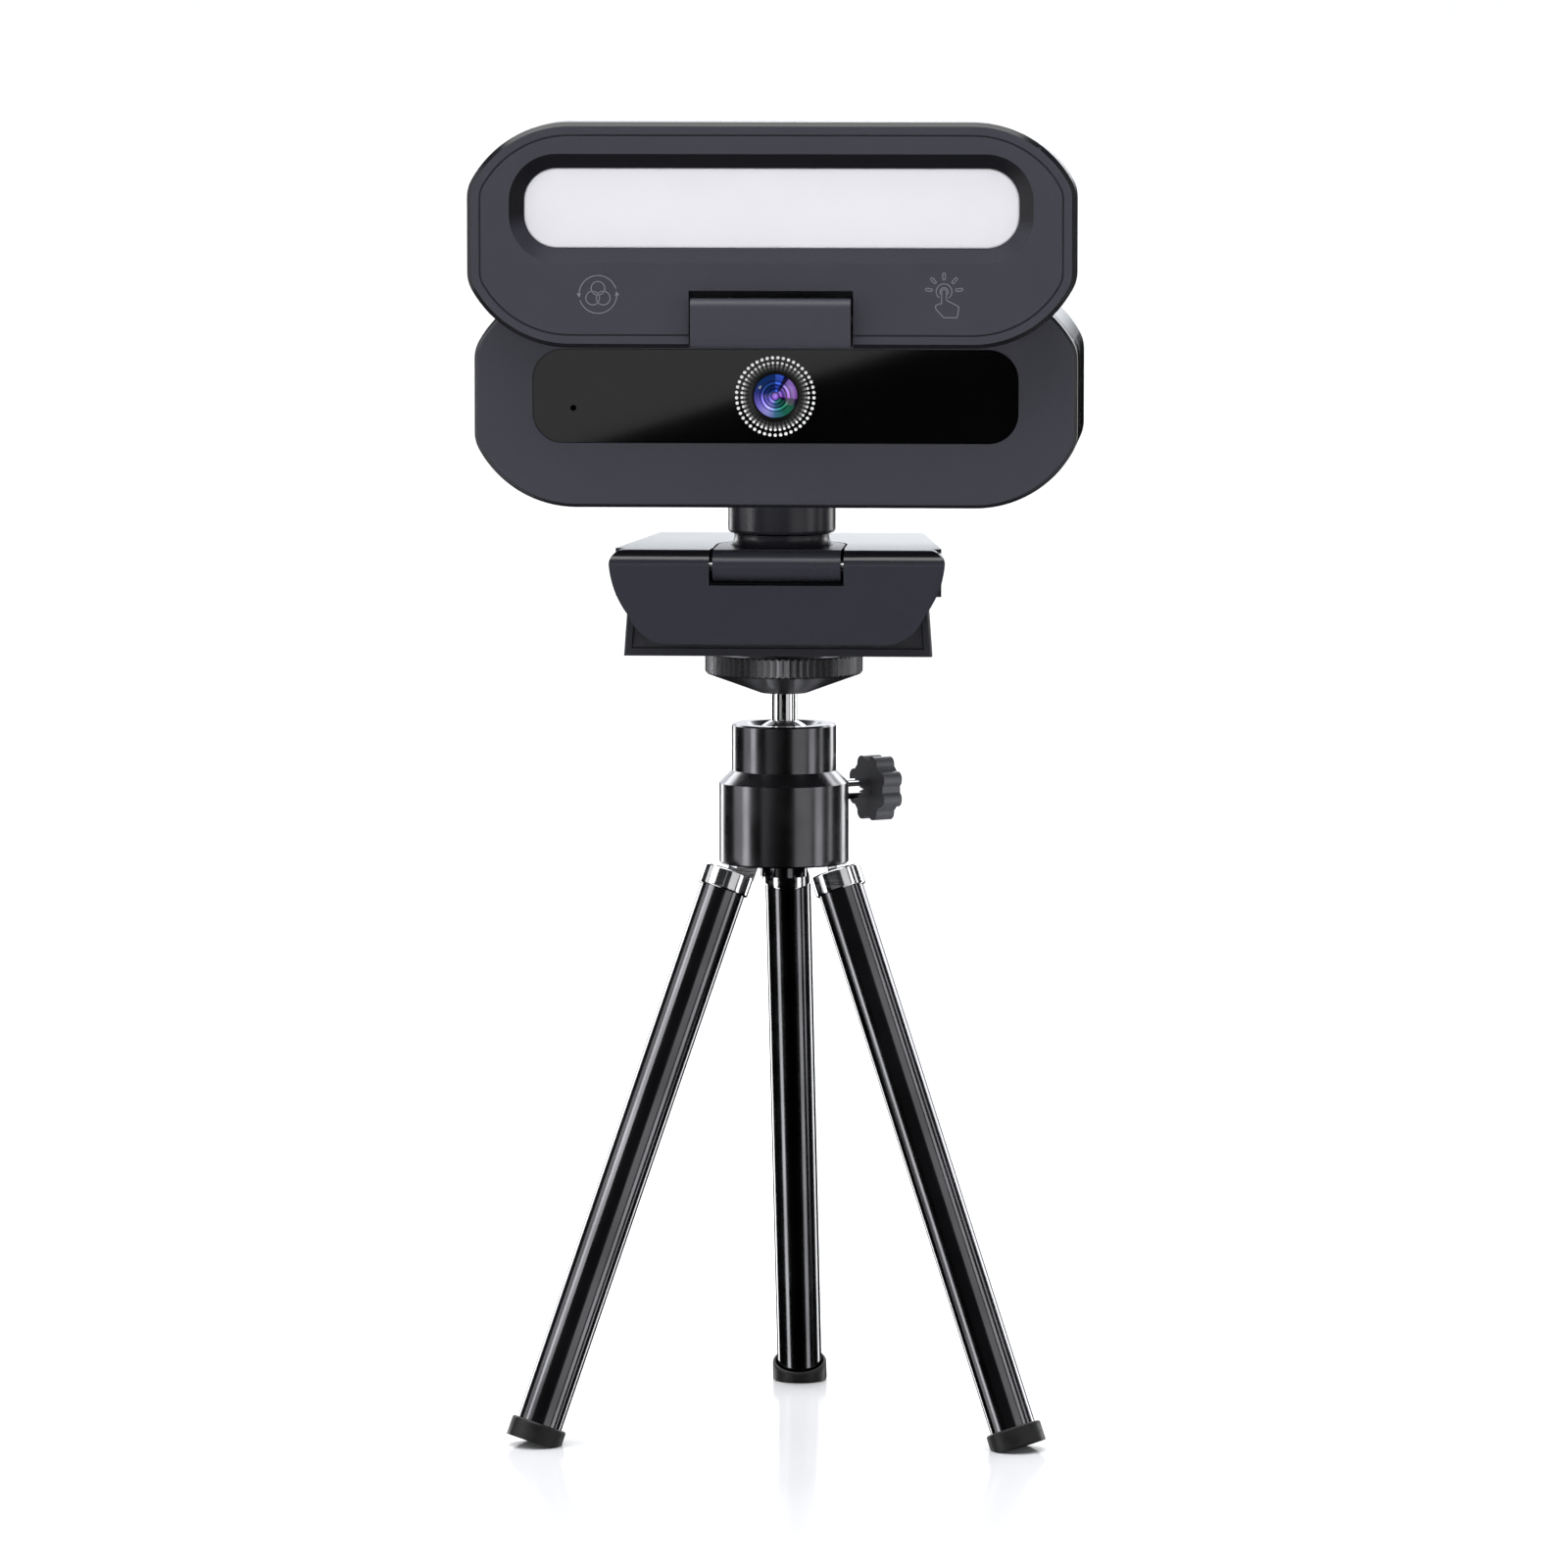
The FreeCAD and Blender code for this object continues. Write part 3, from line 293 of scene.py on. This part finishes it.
def polar(made, centre_z):
    """Distance from the lens axis in metres, and the angle round it from 0 to 1."""
    place = made.axes(made.place)
    across = place["X"]
    up = made.math("SUBTRACT", place["Z"], centre_z)
    square = made.math("ADD", made.math("MULTIPLY", across, across), made.math("MULTIPLY", up, up))
    turn = made.math("ARCTAN2", up, across)
    return made.math("SQRT", square), made.math("ADD", made.math("DIVIDE", turn, math.tau), 0.5)


def coated_lens(name, centre_z, radius):
    """Multi-coated front element: coloured reflections, broken by the rings of the elements behind, painted
    into the base colour.
    """
    made = Finish(name, 0.04)
    made.set(Coat_Weight=1.0, Coat_Roughness=0.02, Specular_IOR_Level=0.6)
    distance, turn = polar(made, centre_z)
    share = made.math("DIVIDE", distance, radius)
    # Painted reflection: the coating's hues, by angle round the lens axis.
    sky = [(0.0, (0.10, 0.09, 0.46)), (0.08, (0.26, 0.22, 0.86)), (0.16, (0.44, 0.40, 0.95)),
           (0.22, (0.22, 0.30, 0.66)), (0.25, (0.06, 0.20, 0.32)), (0.33, (0.02, 0.17, 0.11)),
           (0.40, (0.02, 0.17, 0.09)), (0.44, (0.02, 0.02, 0.05)), (0.475, (0.04, 0.01, 0.10)),
           (0.485, (0.36, 0.12, 0.60)), (0.57, (0.44, 0.22, 0.82)), (0.64, (0.38, 0.24, 0.80)),
           (0.65, (0.01, 0.01, 0.06)), (0.68, (0.01, 0.01, 0.07)), (0.69, (0.06, 0.14, 0.90)),
           (0.745, (0.05, 0.15, 0.70)), (0.755, (0.01, 0.04, 0.22)), (0.88, (0.01, 0.05, 0.20)),
           (0.96, (0.03, 0.05, 0.28)), (1.0, (0.10, 0.09, 0.46))]
    # Painted reflection: light and dark rings of the elements behind, some brighter than white.
    rings = [(0.0, grey(0.5)), (0.20, (0.10, 0.10, 0.16)), (0.24, (1.4, 1.3, 1.5)), (0.28, (0.9, 0.9, 1.1)),
             (0.31, (0.25, 0.25, 0.35)), (0.42, (0.30, 0.30, 0.42)), (0.45, (0.9, 0.9, 1.1)),
             (0.48, (0.10, 0.10, 0.16)), (0.54, (0.14, 0.14, 0.20)), (0.57, grey(1.7)), (0.65, grey(1.5)),
             (0.67, (0.12, 0.12, 0.18)), (0.70, (0.15, 0.15, 0.2)), (0.73, (0.8, 0.8, 0.85)),
             (0.90, grey(1.0)), (0.96, grey(1.5)), (1.0, (0.04, 0.04, 0.08))]
    # Painted reflection: a violet glint in the middle.
    painted_centre_glint = [(0.0, (0.50, 0.30, 0.95)), (0.13, (0.24, 0.10, 0.62)), (0.19, (0.0, 0.0, 0.02))]
    tint = made.mixed("MULTIPLY", 1.0, made.ramp(turn, sky), made.ramp(share, rings))
    inner = made.ramp(share, [(0.15, grey(1)), (0.19, grey(0))])
    made.link(made.mixed("MIX", inner, tint, made.ramp(share, painted_centre_glint)), made.shader.inputs["Base Color"])
    return made


def ticked(name, centre_z, radius):
    """Black lens surround with radial ticks, one behind each printed dot; ticks and ground darken towards the
    glass as a painted shadow round the lens.
    """
    made = Finish(name, 0.32)
    distance, turn = polar(made, centre_z)
    share = made.math("DIVIDE", distance, radius)
    phase = made.math("SUBTRACT", made.math("MULTIPLY", turn, DOT_COUNT), DOT_PHASE)
    wave = made.math("COSINE", made.math("MULTIPLY", phase, math.tau))
    sharp = made.mask(made.math("MULTIPLY", made.math("ADD", wave, 1.0), 0.5), 0.35, 0.8)
    # Painted shadow: near black next to the glass, lighter outwards.
    between = made.ramp(share, [(0.70, grey(0.001)), (0.80, grey(0.006)), (0.89, grey(0.010)),
                                (1.0, grey(0.022))])
    tick = made.ramp(share, [(0.74, grey(0.002)), (0.80, grey(0.016)), (0.89, (0.060, 0.060, 0.058)),
                             (0.95, (0.17, 0.17, 0.165)), (1.0, (0.42, 0.42, 0.41))])
    made.link(made.mixed("MIX", sharp, between, tick), made.shader.inputs["Base Color"])
    made.bump(made.noise(0.1 * MM, 2), 0.004 * MM, 0.2)
    return made


def circuit_board(name):
    """Green solder mask with darker gaps between copper pours."""
    made = Finish(name, 0.35)
    cells = made.node("ShaderNodeTexVoronoi", Scale=700.0)
    cells.distance = "MANHATTAN"
    made.link(made.place, cells.inputs["Vector"])
    pours = cells.outputs["Distance"]
    made.colour(pours, [(0.1, (0.01, 0.09, 0.04)), (0.45, (0.015, 0.14, 0.06)), (0.5, (0.03, 0.22, 0.1))])
    made.bump(pours, 0.02 * MM, 0.3)
    return made


def frosted(name, colour):
    """Milky diffuser: a satin skin that scatters light inside, and a trace of painted glow, though the lamp
    is off.
    """
    made = Finish(name, 0.38)
    made.set(Subsurface_Weight=0.25, Subsurface_Radius=(2 * MM, 2 * MM, 2.2 * MM), Subsurface_Scale=1.0)
    # Painted light: a faint emission brightens the unlit diffuser and LEDs.
    made.set(Emission_Color=(0.93, 0.92, 1.0, 1), Emission_Strength=0.03)
    made.colour(made.noise(12 * MM, 2), tones(colour, 0.012))
    made.spread(made.noise(2 * MM, 3), 0.34, 0.42)
    made.bump(made.noise(0.15 * MM, 3), 0.01 * MM, 0.25)
    return made


def printed(name, colour, rough):
    """Screen-printed ink: slightly uneven cover and a dry edge."""
    made = Finish(name, rough)
    made.colour(made.noise(0.5 * MM, 4), tones(colour, 0.08))
    made.bump(made.noise(0.06 * MM, 2), 0.004 * MM, 0.3)
    return made.material


ROUND_Z = (0.02, 0.02, 1.0)
SLATE = (0.0385, 0.039, 0.0525)
# Near-black colour painted on sloped edges as shade.
PAINTED_EDGE_SHADE = (0.008, 0.008, 0.010)
LENS_SURROUND = ticked("lens_surround", LENS_CENTRE.z, RIM_RADIUS)

FINISHES = {
    "slate_plastic": moulded("slate_plastic", SLATE, 0.46, 0.16 * MM, 0.012 * MM),
    "gloss_black": glossy("gloss_black", (0.0062, 0.0062, 0.0075), 0.16, 0.6, 5 * MM),
    "window_black": glossy("window_black", (0.0012, 0.0012, 0.0013), 0.03, 1.0, 6 * MM),
    "clamp_plastic": moulded("clamp_plastic", (0.027, 0.0275, 0.037), 0.28, 0.14 * MM, 0.010 * MM),
    "black_anodised": glossy("black_anodised", (0.125, 0.125, 0.135), 0.15, 0.5, 12 * MM,
                             metallic=1.0, coat_rough=0.05),
    "chrome": metal("chrome", (0.78, 0.78, 0.80), 0.10, ROUND_Z),
    "steel": metal("steel", (0.56, 0.57, 0.58), 0.24),
    "rubber": rubber("rubber", (0.006, 0.006, 0.0065), 0.48),
    "pad_rubber": rubber("pad_rubber", (0.040, 0.041, 0.050), 0.58),
    "nylon": moulded("nylon", (0.72, 0.70, 0.64), 0.5, 0.2 * MM, 0.01 * MM),
    "knob_plastic": moulded("knob_plastic", (0.074, 0.075, 0.085), 0.32, 0.18 * MM, 0.012 * MM),
    "brass": metal("brass", (0.72, 0.50, 0.22), 0.28),
    "lens_glass": coated_lens("lens_glass", LENS_CENTRE.z, LENS_RADIUS),
    "lens_black": moulded("lens_black", (0.020, 0.020, 0.020), 0.30, 0.3 * MM, 0.006 * MM),
    "board_green": circuit_board("board_green"),
    "chip_black": moulded("chip_black", (0.018, 0.018, 0.018), 0.45, 0.1 * MM, 0.01 * MM),
    "copper": metal("copper", (0.72, 0.40, 0.24), 0.3),
    "led_yellow": frosted("led_yellow", (0.85, 0.72, 0.25)),
    "diffuser_white": frosted("diffuser_white", (0.655, 0.650, 0.685)),
    "reflector_white": moulded("reflector_white", (0.82, 0.82, 0.82), 0.4, 0.2 * MM, 0.006 * MM),
}

# Pieces whose finish differs from the rest of their slot.
OWN_FINISHES = {
    "front_bezel": with_painted_edge_shade("bezel_plastic", SLATE, 0.46, 0.16 * MM, 0.012 * MM),
    "light_front": with_painted_edge_shade("light_plastic", SLATE, 0.46, 0.16 * MM, 0.012 * MM, recess=RECESS),
    "light_hinge_pin": metal("blackened_steel", (0.05, 0.05, 0.055), 0.4),
    "lens_ring": LENS_SURROUND,
    "lens_barrel": LENS_SURROUND,
    "microphone": moulded("microphone_mesh", (0.004, 0.004, 0.004), 0.6, 0.1 * MM, 0.01 * MM),
    "clamp_platform": with_painted_edge_shade("platform_plastic", (0.025, 0.0255, 0.035), 0.26, 0.14 * MM, 0.004 * MM,
                            edge_rough=0.18, top=True, coat=0.36),
    # Painted shade: the foot plate and its pad are darker copies of the clamp plastic and pad rubber,
    # standing in for shade behind the clamp's lip.
    "foot_plate": moulded("foot_plastic", (0.020, 0.0205, 0.026), 0.30, 0.14 * MM, 0.008 * MM),
    "foot_pad": rubber("foot_rubber", (0.021, 0.0215, 0.027), 0.50),
    "mount_disc": metal("knurled_disc", (0.16, 0.16, 0.17), 0.34),
    "head_housing": glossy("satin_black", (0.115, 0.115, 0.125), 0.22, 0.4, 20 * MM,
                           metallic=1.0, coat_rough=0.14),
}
WHITE_INK = printed("white_ink", (0.88, 0.88, 0.88), 0.5)
GREY_INK = printed("grey_ink", (0.155, 0.160, 0.185), 0.5)

for part in frame["record"]["subparts"]:
    finish = OWN_FINISHES.get(part["node"], FINISHES[part["material_slot"]])
    surfaces = NODES[part["node"]].data.materials
    surfaces.clear()
    surfaces.append(finish.material)


# ---------------------------------------------------------------- printed marks

def piece(name, mesh_maker, material, body):
    """A new mesh object in the row frame that rides on a CAD body."""
    mesh = bpy.data.meshes.new(name)
    work = bmesh.new()
    mesh_maker(work)
    bmesh.ops.recalc_face_normals(work, faces=work.faces)
    work.to_mesh(mesh)
    work.free()
    mesh.materials.append(material)
    made = bpy.data.objects.new(name, mesh)
    bpy.context.scene.collection.objects.link(made)
    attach(made, body)


def arc(centre, radius, start, end, steps):
    """Points along an arc, angles in degrees from +X towards +Z."""
    made = []
    for i in range(steps + 1):
        angle = math.radians(start + (end - start) * i / steps)
        made.append((centre[0] + radius * math.cos(angle), centre[1] + radius * math.sin(angle)))
    return made


def circle(centre, radius, steps=40):
    return arc(centre, radius, 0, 360, steps)[:-1]


def offset_loop(points, distance):
    """A closed line of (x, z) points moved sideways, with mitred corners."""
    made = []
    count = len(points)
    for i in range(count):
        before, here, after = (Vector(points[k % count]) for k in (i - 1, i, i + 1))
        a = (here - before).normalized()
        b = (after - here).normalized()
        normal = Vector((-(a.y + b.y), a.x + b.x))
        normal = normal / max(normal.length, 0.3)
        reach = distance / max(0.45, normal.dot(Vector((-a.y, a.x))))
        made.append(tuple(here + normal * reach))
    return made


LINE = 0.15 * MM
LINE_LIFT = 0.03 * MM


def closed_line(work, points):
    """A closed printed line on the light's face: a thin raised skin with an outer and an inner edge."""
    loops = (offset_loop(points, LINE / 2), offset_loop(points, -LINE / 2))
    low, high = ([[work.verts.new((x, y, z)) for x, z in loop] for loop in loops]
                 for y in (LIGHT_FACE, LIGHT_FACE - LINE_LIFT))
    count = len(points)
    for i in range(count):
        j = (i + 1) % count
        for a, b in zip(low, high):
            work.faces.new((a[i], a[j], b[j], b[i]))
        for outer, inner in (low, high):
            work.faces.new((outer[i], outer[j], inner[j], inner[i]))


def open_line(work, points):
    """A printed line with two ends on the light's face."""
    left, right = [], []
    for i, here in enumerate(points):
        before = Vector(points[max(i - 1, 0)])
        after = Vector(points[min(i + 1, len(points) - 1)])
        along = (after - before).normalized()
        aside = Vector((-along.y, along.x)) * LINE / 2
        left.append(tuple(Vector(here) + aside))
        right.append(tuple(Vector(here) - aside))
    loop = left + right[::-1]
    low, high = ([work.verts.new((x, y, z)) for x, z in loop] for y in (LIGHT_FACE, LIGHT_FACE - LINE_LIFT))
    size = len(loop)
    for i in range(size):
        j = (i + 1) % size
        work.faces.new((low[i], low[j], high[j], high[i]))
    for row in (low, high):
        for i in range(len(points) - 1):
            work.faces.new((row[i], row[i + 1], row[size - 2 - i], row[size - 1 - i]))


def dome(work, x, z, radius):
    """A low dome of ink on the window."""
    rows = []
    for share, lift in DOT_PROFILE:
        y = WINDOW_FACE - DOT_LIFT * lift
        rows.append([work.verts.new((px, y, pz)) for px, pz in circle((x, z), radius * share, DOT_STEPS)])
    for low, high in zip(rows, rows[1:]):
        for i in range(DOT_STEPS):
            j = (i + 1) % DOT_STEPS
            work.faces.new((low[i], low[j], high[j], high[i]))
    work.faces.new(rows[-1])
    work.faces.new(rows[0][::-1])


def ring_dots(work):
    """Two rings of printed dots round the lens."""
    for ring, radius in DOT_RINGS:
        for i in range(DOT_COUNT):
            angle = math.tau * (i + 0.5) / DOT_COUNT
            dome(work, LENS_CENTRE.x + ring * math.sin(angle), LENS_CENTRE.z + ring * math.cos(angle), radius)


MARK_X = 28.4 * MM
MARK_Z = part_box("light_front")[0].z + 8.8 * MM


def mixing_mark(work):
    """Colour temperature mark: three overlapping circles inside two turning arrows."""
    centre = Vector((-MARK_X, MARK_Z))
    circle_radius = 1.12 * MM
    arrow_radius = 3.1 * MM
    head_back = 0.62 * MM
    head_length = 0.75 * MM
    head_half = 0.36 * MM
    for x, z in ((0, 1.0), (-0.87, -0.6), (0.87, -0.6)):
        closed_line(work, circle(centre + Vector((x, z)) * MM, circle_radius))
    for start in (18, 198):
        open_line(work, arc(centre, arrow_radius, start, start + 158, 40))
        tip = math.radians(start + 170)
        out = Vector((math.cos(tip), math.sin(tip)))
        on = Vector((-out.y, out.x))
        base = centre + out * arrow_radius - on * head_back
        head = (base + out * head_half, base + on * head_length, base - out * head_half)
        work.faces.new([work.verts.new((x, LIGHT_FACE - LINE_LIFT, z)) for x, z in head])


def touch_mark(work):
    """Dimmer mark: a pointing hand with two rings and five rays."""
    centre = Vector((MARK_X, MARK_Z + 0.58 * MM))
    ray_start = 2.15 * MM
    ray_end = 2.85 * MM
    ray_half = 0.21 * MM
    for radius in (0.66, 1.28):
        open_line(work, arc(centre, radius * MM, -52, 232, 36))
    for angle in (90, 46, 134, 7, 173):
        out = Vector((math.cos(math.radians(angle)), math.sin(math.radians(angle))))
        far_end = arc(centre + out * ray_end, ray_half, angle - 90, angle + 90, 8)
        near_end = arc(centre + out * ray_start, ray_half, angle + 90, angle + 270, 8)
        closed_line(work, far_end + near_end)
    hand = [(-0.40, 0.0), (-0.40, -1.95), (-0.95, -2.05), (-1.35, -2.30), (-1.42, -2.62), (-1.25, -2.95),
            (-0.15, -4.15), (0.0, -4.25), (2.05, -4.25), (2.20, -4.10), (2.42, -2.75), (2.35, -2.40),
            (0.55, -1.50), (0.40, -1.35)]
    fingertip = arc(centre, 0.40 * MM, 0, 168, 12)
    outline = [tuple(centre + Vector(point) * MM) for point in hand] + fingertip
    closed_line(work, outline[::-1])


piece("ring_dots", ring_dots, WHITE_INK, "camera")
piece("mixing_mark", mixing_mark, GREY_INK, "light")
piece("touch_mark", touch_mark, GREY_INK, "light")


# ---------------------------------------------------------------- studio

FLOOR_HALF = 40.0
FLOOR_DROP = 0.05 * MM
FLOOR_GLOSS = 0.31

# The world's strength on matt surfaces, and in glossy ones: a dim surround, which brightens to a backdrop
# as the Y of the mirrored direction goes from start to full. Both fade out at the horizon.
AMBIENT = 0.22
SURROUND = 0.03
BACKDROP = 1.35
BACKDROP_START = 0.55
BACKDROP_FULL = 0.9
HORIZON_BLUR = 0.04


def floor_finish():
    """Pale matt floor with a faint mirror image of what stands on it."""
    made = Finish("floor", 1.0)
    made.set(Specular_IOR_Level=0.0)
    made.colour(made.noise(80 * MM, 2), tones((0.86, 0.87, 0.89), 0.004))
    sheen = made.node("ShaderNodeBsdfGlossy", Color=(1.0, 0.97, 0.92, 1), Roughness=0.12)
    both = made.node("ShaderNodeMixShader", Fac=FLOOR_GLOSS)
    made.link(made.shader.outputs[0], both.inputs[1])
    made.link(sheen.outputs[0], both.inputs[2])
    total = made.node("ShaderNodeAddShader")
    made.link(both.outputs[0], total.inputs[0])
    made.link(floor_glow(made), total.inputs[1])
    made.link(total.outputs[0], made.tree.nodes["Material Output"].inputs["Surface"])
    return made.material


def floor_glow(made):
    """From the sides the sheen mirrors the dim surround. A glow keeps the floor pale there, to the eye."""
    view = made.axes(made.node("ShaderNodeNewGeometry").outputs["Incoming"])
    aside = made.node("ShaderNodeMapRange", From_Min=-BACKDROP_FULL, From_Max=-BACKDROP_START,
                      To_Min=0.0, To_Max=FLOOR_GLOSS)
    aside.interpolation_type = "SMOOTHSTEP"
    made.link(view["Y"], aside.inputs["Value"])
    path = made.node("ShaderNodeLightPath")
    glow = made.node("ShaderNodeEmission", Color=(1, 1, 1, 1))
    seen = made.math("MULTIPLY", aside.outputs["Result"], path.outputs["Is Camera Ray"])
    made.link(seen, glow.inputs["Strength"])
    return glow.outputs[0]


def make_floor():
    mesh = bpy.data.meshes.new("floor")
    corners = [(x * FLOOR_HALF, y * FLOOR_HALF, 0) for x, y in ((-1, -1), (1, -1), (1, 1), (-1, 1))]
    mesh.from_pydata(corners, [], [(0, 1, 2, 3)])
    mesh.materials.append(floor_finish())
    floor = bpy.data.objects.new("floor", mesh)
    floor.location.z = -FLOOR_DROP
    floor.visible_glossy = False
    floor.visible_shadow = False
    bpy.context.scene.collection.objects.link(floor)


def make_world():
    """White to the eye, a backdrop and a dim surround to glossy surfaces, and soft light on matt ones."""
    world = bpy.data.worlds.new("studio")
    bpy.context.scene.world = world
    world.use_nodes = True
    tree = world.node_tree
    tree.nodes.clear()
    direction = add_node(tree, "ShaderNodeSeparateXYZ")
    tree.links.new(add_node(tree, "ShaderNodeTexCoord").outputs["Generated"], direction.inputs["Vector"])
    backdrop = add_node(tree, "ShaderNodeMapRange", From_Min=BACKDROP_START, From_Max=BACKDROP_FULL,
                        To_Min=SURROUND, To_Max=BACKDROP)
    backdrop.interpolation_type = "SMOOTHSTEP"
    tree.links.new(direction.outputs["Y"], backdrop.inputs["Value"])
    above = add_node(tree, "ShaderNodeMapRange", From_Min=0.0, From_Max=HORIZON_BLUR, To_Min=0.0, To_Max=1.0)
    tree.links.new(direction.outputs["Z"], above.inputs["Value"])
    raised = add_node(tree, "ShaderNodeMath")
    raised.operation = "MULTIPLY"
    tree.links.new(backdrop.outputs["Result"], raised.inputs[0])
    tree.links.new(above.outputs["Result"], raised.inputs[1])
    shown = add_node(tree, "ShaderNodeBackground", Color=(0.92, 0.94, 1, 1), Strength=AMBIENT)
    mirrored = add_node(tree, "ShaderNodeBackground", Color=(0.92, 0.95, 1, 1))
    tree.links.new(raised.outputs[0], mirrored.inputs["Strength"])
    white = add_node(tree, "ShaderNodeBackground", Color=(1, 1, 1, 1), Strength=1.0)
    path = add_node(tree, "ShaderNodeLightPath")
    for sky, ray in ((mirrored, "Is Glossy Ray"), (white, "Is Camera Ray")):
        both = add_node(tree, "ShaderNodeMixShader")
        tree.links.new(path.outputs[ray], both.inputs[0])
        tree.links.new(shown.outputs[0], both.inputs[1])
        tree.links.new(sky.outputs[0], both.inputs[2])
        shown = both
    out = add_node(tree, "ShaderNodeOutputWorld")
    tree.links.new(shown.outputs[0], out.inputs["Surface"])


def make_sun():
    """Even top light, so that the pale floor stays white to its edge."""
    data = bpy.data.lights.new("top_light", "SUN")
    data.energy = 3.3
    data.angle = math.radians(70)
    made = bpy.data.objects.new("top_light", data)
    made.rotation_euler = (math.radians(12), math.radians(-8), 0)
    bpy.context.scene.collection.objects.link(made)


def aimed(name, data, place, target, roll=0.0):
    """A light or camera at a place, looking at a target. Roll is in degrees about its line of sight."""
    made = bpy.data.objects.new(name, data)
    made.location = place
    facing = (Vector(target) - Vector(place)).to_track_quat("-Z", "Y")
    made.rotation_mode = "QUATERNION"
    made.rotation_quaternion = facing @ Quaternion((0, 0, 1), math.radians(roll))
    bpy.context.scene.collection.objects.link(made)
    return made


def softbox(name, place, target, width, height, radiance, roll=0.0):
    """A rectangular light that the camera doesn't see. Radiance is its brightness as a surface."""
    data = bpy.data.lights.new(name, "AREA")
    data.shape = "RECTANGLE"
    data.size = width
    data.size_y = height
    data.energy = radiance * math.pi * width * height
    made = aimed(name, data, place, target, roll)
    made.visible_camera = False
    return made


def leave_dark(light, names):
    """The light passes these CAD pieces by, as if a flag shaded them."""
    shaded = bpy.data.collections.new(light.name + "_flag")
    for name in names:
        shaded.objects.link(NODES[name])
    for entry in shaded.collection_objects:
        entry.light_linking.link_state = "EXCLUDE"
    light.light_linking.receiver_collection = shaded


def make_lights():
    """A key, a fill, tall soft lights at the sides and behind, two above and behind, and a card in front."""
    body = (0, -0.01, 0.17)
    tripod = (0, -0.006, 0.08)
    softbox("key", (-0.95, -0.70, 0.72), body, 0.5, 0.5, 2.6)
    softbox("fill", (0.80, -1.02, 0.20), tripod, 0.75, 1.3, 0.7)
    softbox("wide_left", (-1.1, -0.05, 0.20), tripod, 0.35, 1.3, 0.9)
    softbox("side_left", (-0.80, -0.323, -0.15), tripod, 0.21, 1.8, 3.2)
    softbox("side_right", (0.80, -0.323, -0.15), tripod, 0.24, 1.8, 1.7)
    softbox("edge_right", (0.75, 0.05, 0.16), tripod, 0.10, 1.2, 1.6)
    softbox("rim_left", (-0.45, 0.55, 0.20), body, 0.16, 1.0, 4.0)
    softbox("rim_right", (0.50, 0.50, 0.20), body, 0.16, 1.0, 4.0)
    softbox("back", (0.25, 1.1, 0.65), body, 0.7, 0.4, 3.0)
    softbox("overhead", (0.0, 0.25, 0.95), body, 0.8, 0.5, 2.2)
    # The leg tubes would mirror the card as a grey band.
    card = softbox("card", (-0.426, -1.231, 0.137), (-0.426, 0, 0.137), 1.05, 0.25, 0.40, roll=17)
    leave_dark(card, ("leg_tube_back", "leg_tube_left", "leg_tube_right"))


EYE_TURN = math.radians(3.4)
EYE_DISTANCE = 1.5
EYE_HEIGHT = 0.255
EYE_DROP = 1.5 * MM
LENS_LENGTH = 205
SENSOR_WIDTH = 36


def make_camera():
    """A long lens, a little to the right and looking slightly down at the middle of the object."""
    data = bpy.data.cameras.new("camera")
    data.lens = LENS_LENGTH
    data.sensor_width = SENSOR_WIDTH
    data.clip_start = 0.05
    data.clip_end = 200
    right = math.sin(EYE_TURN) * EYE_DISTANCE
    forward = AXIS_Y - math.cos(EYE_TURN) * EYE_DISTANCE
    target = (0, AXIS_Y, (CAD_BOX[0].z + CAD_BOX[1].z) / 2 - EYE_DROP)
    bpy.context.scene.camera = aimed("camera", data, (right, forward, EYE_HEIGHT), target)


make_floor()
make_world()
make_sun()
make_lights()
make_camera()

bpy.context.scene.view_settings.view_transform = "Standard"
bpy.context.view_layer.update()
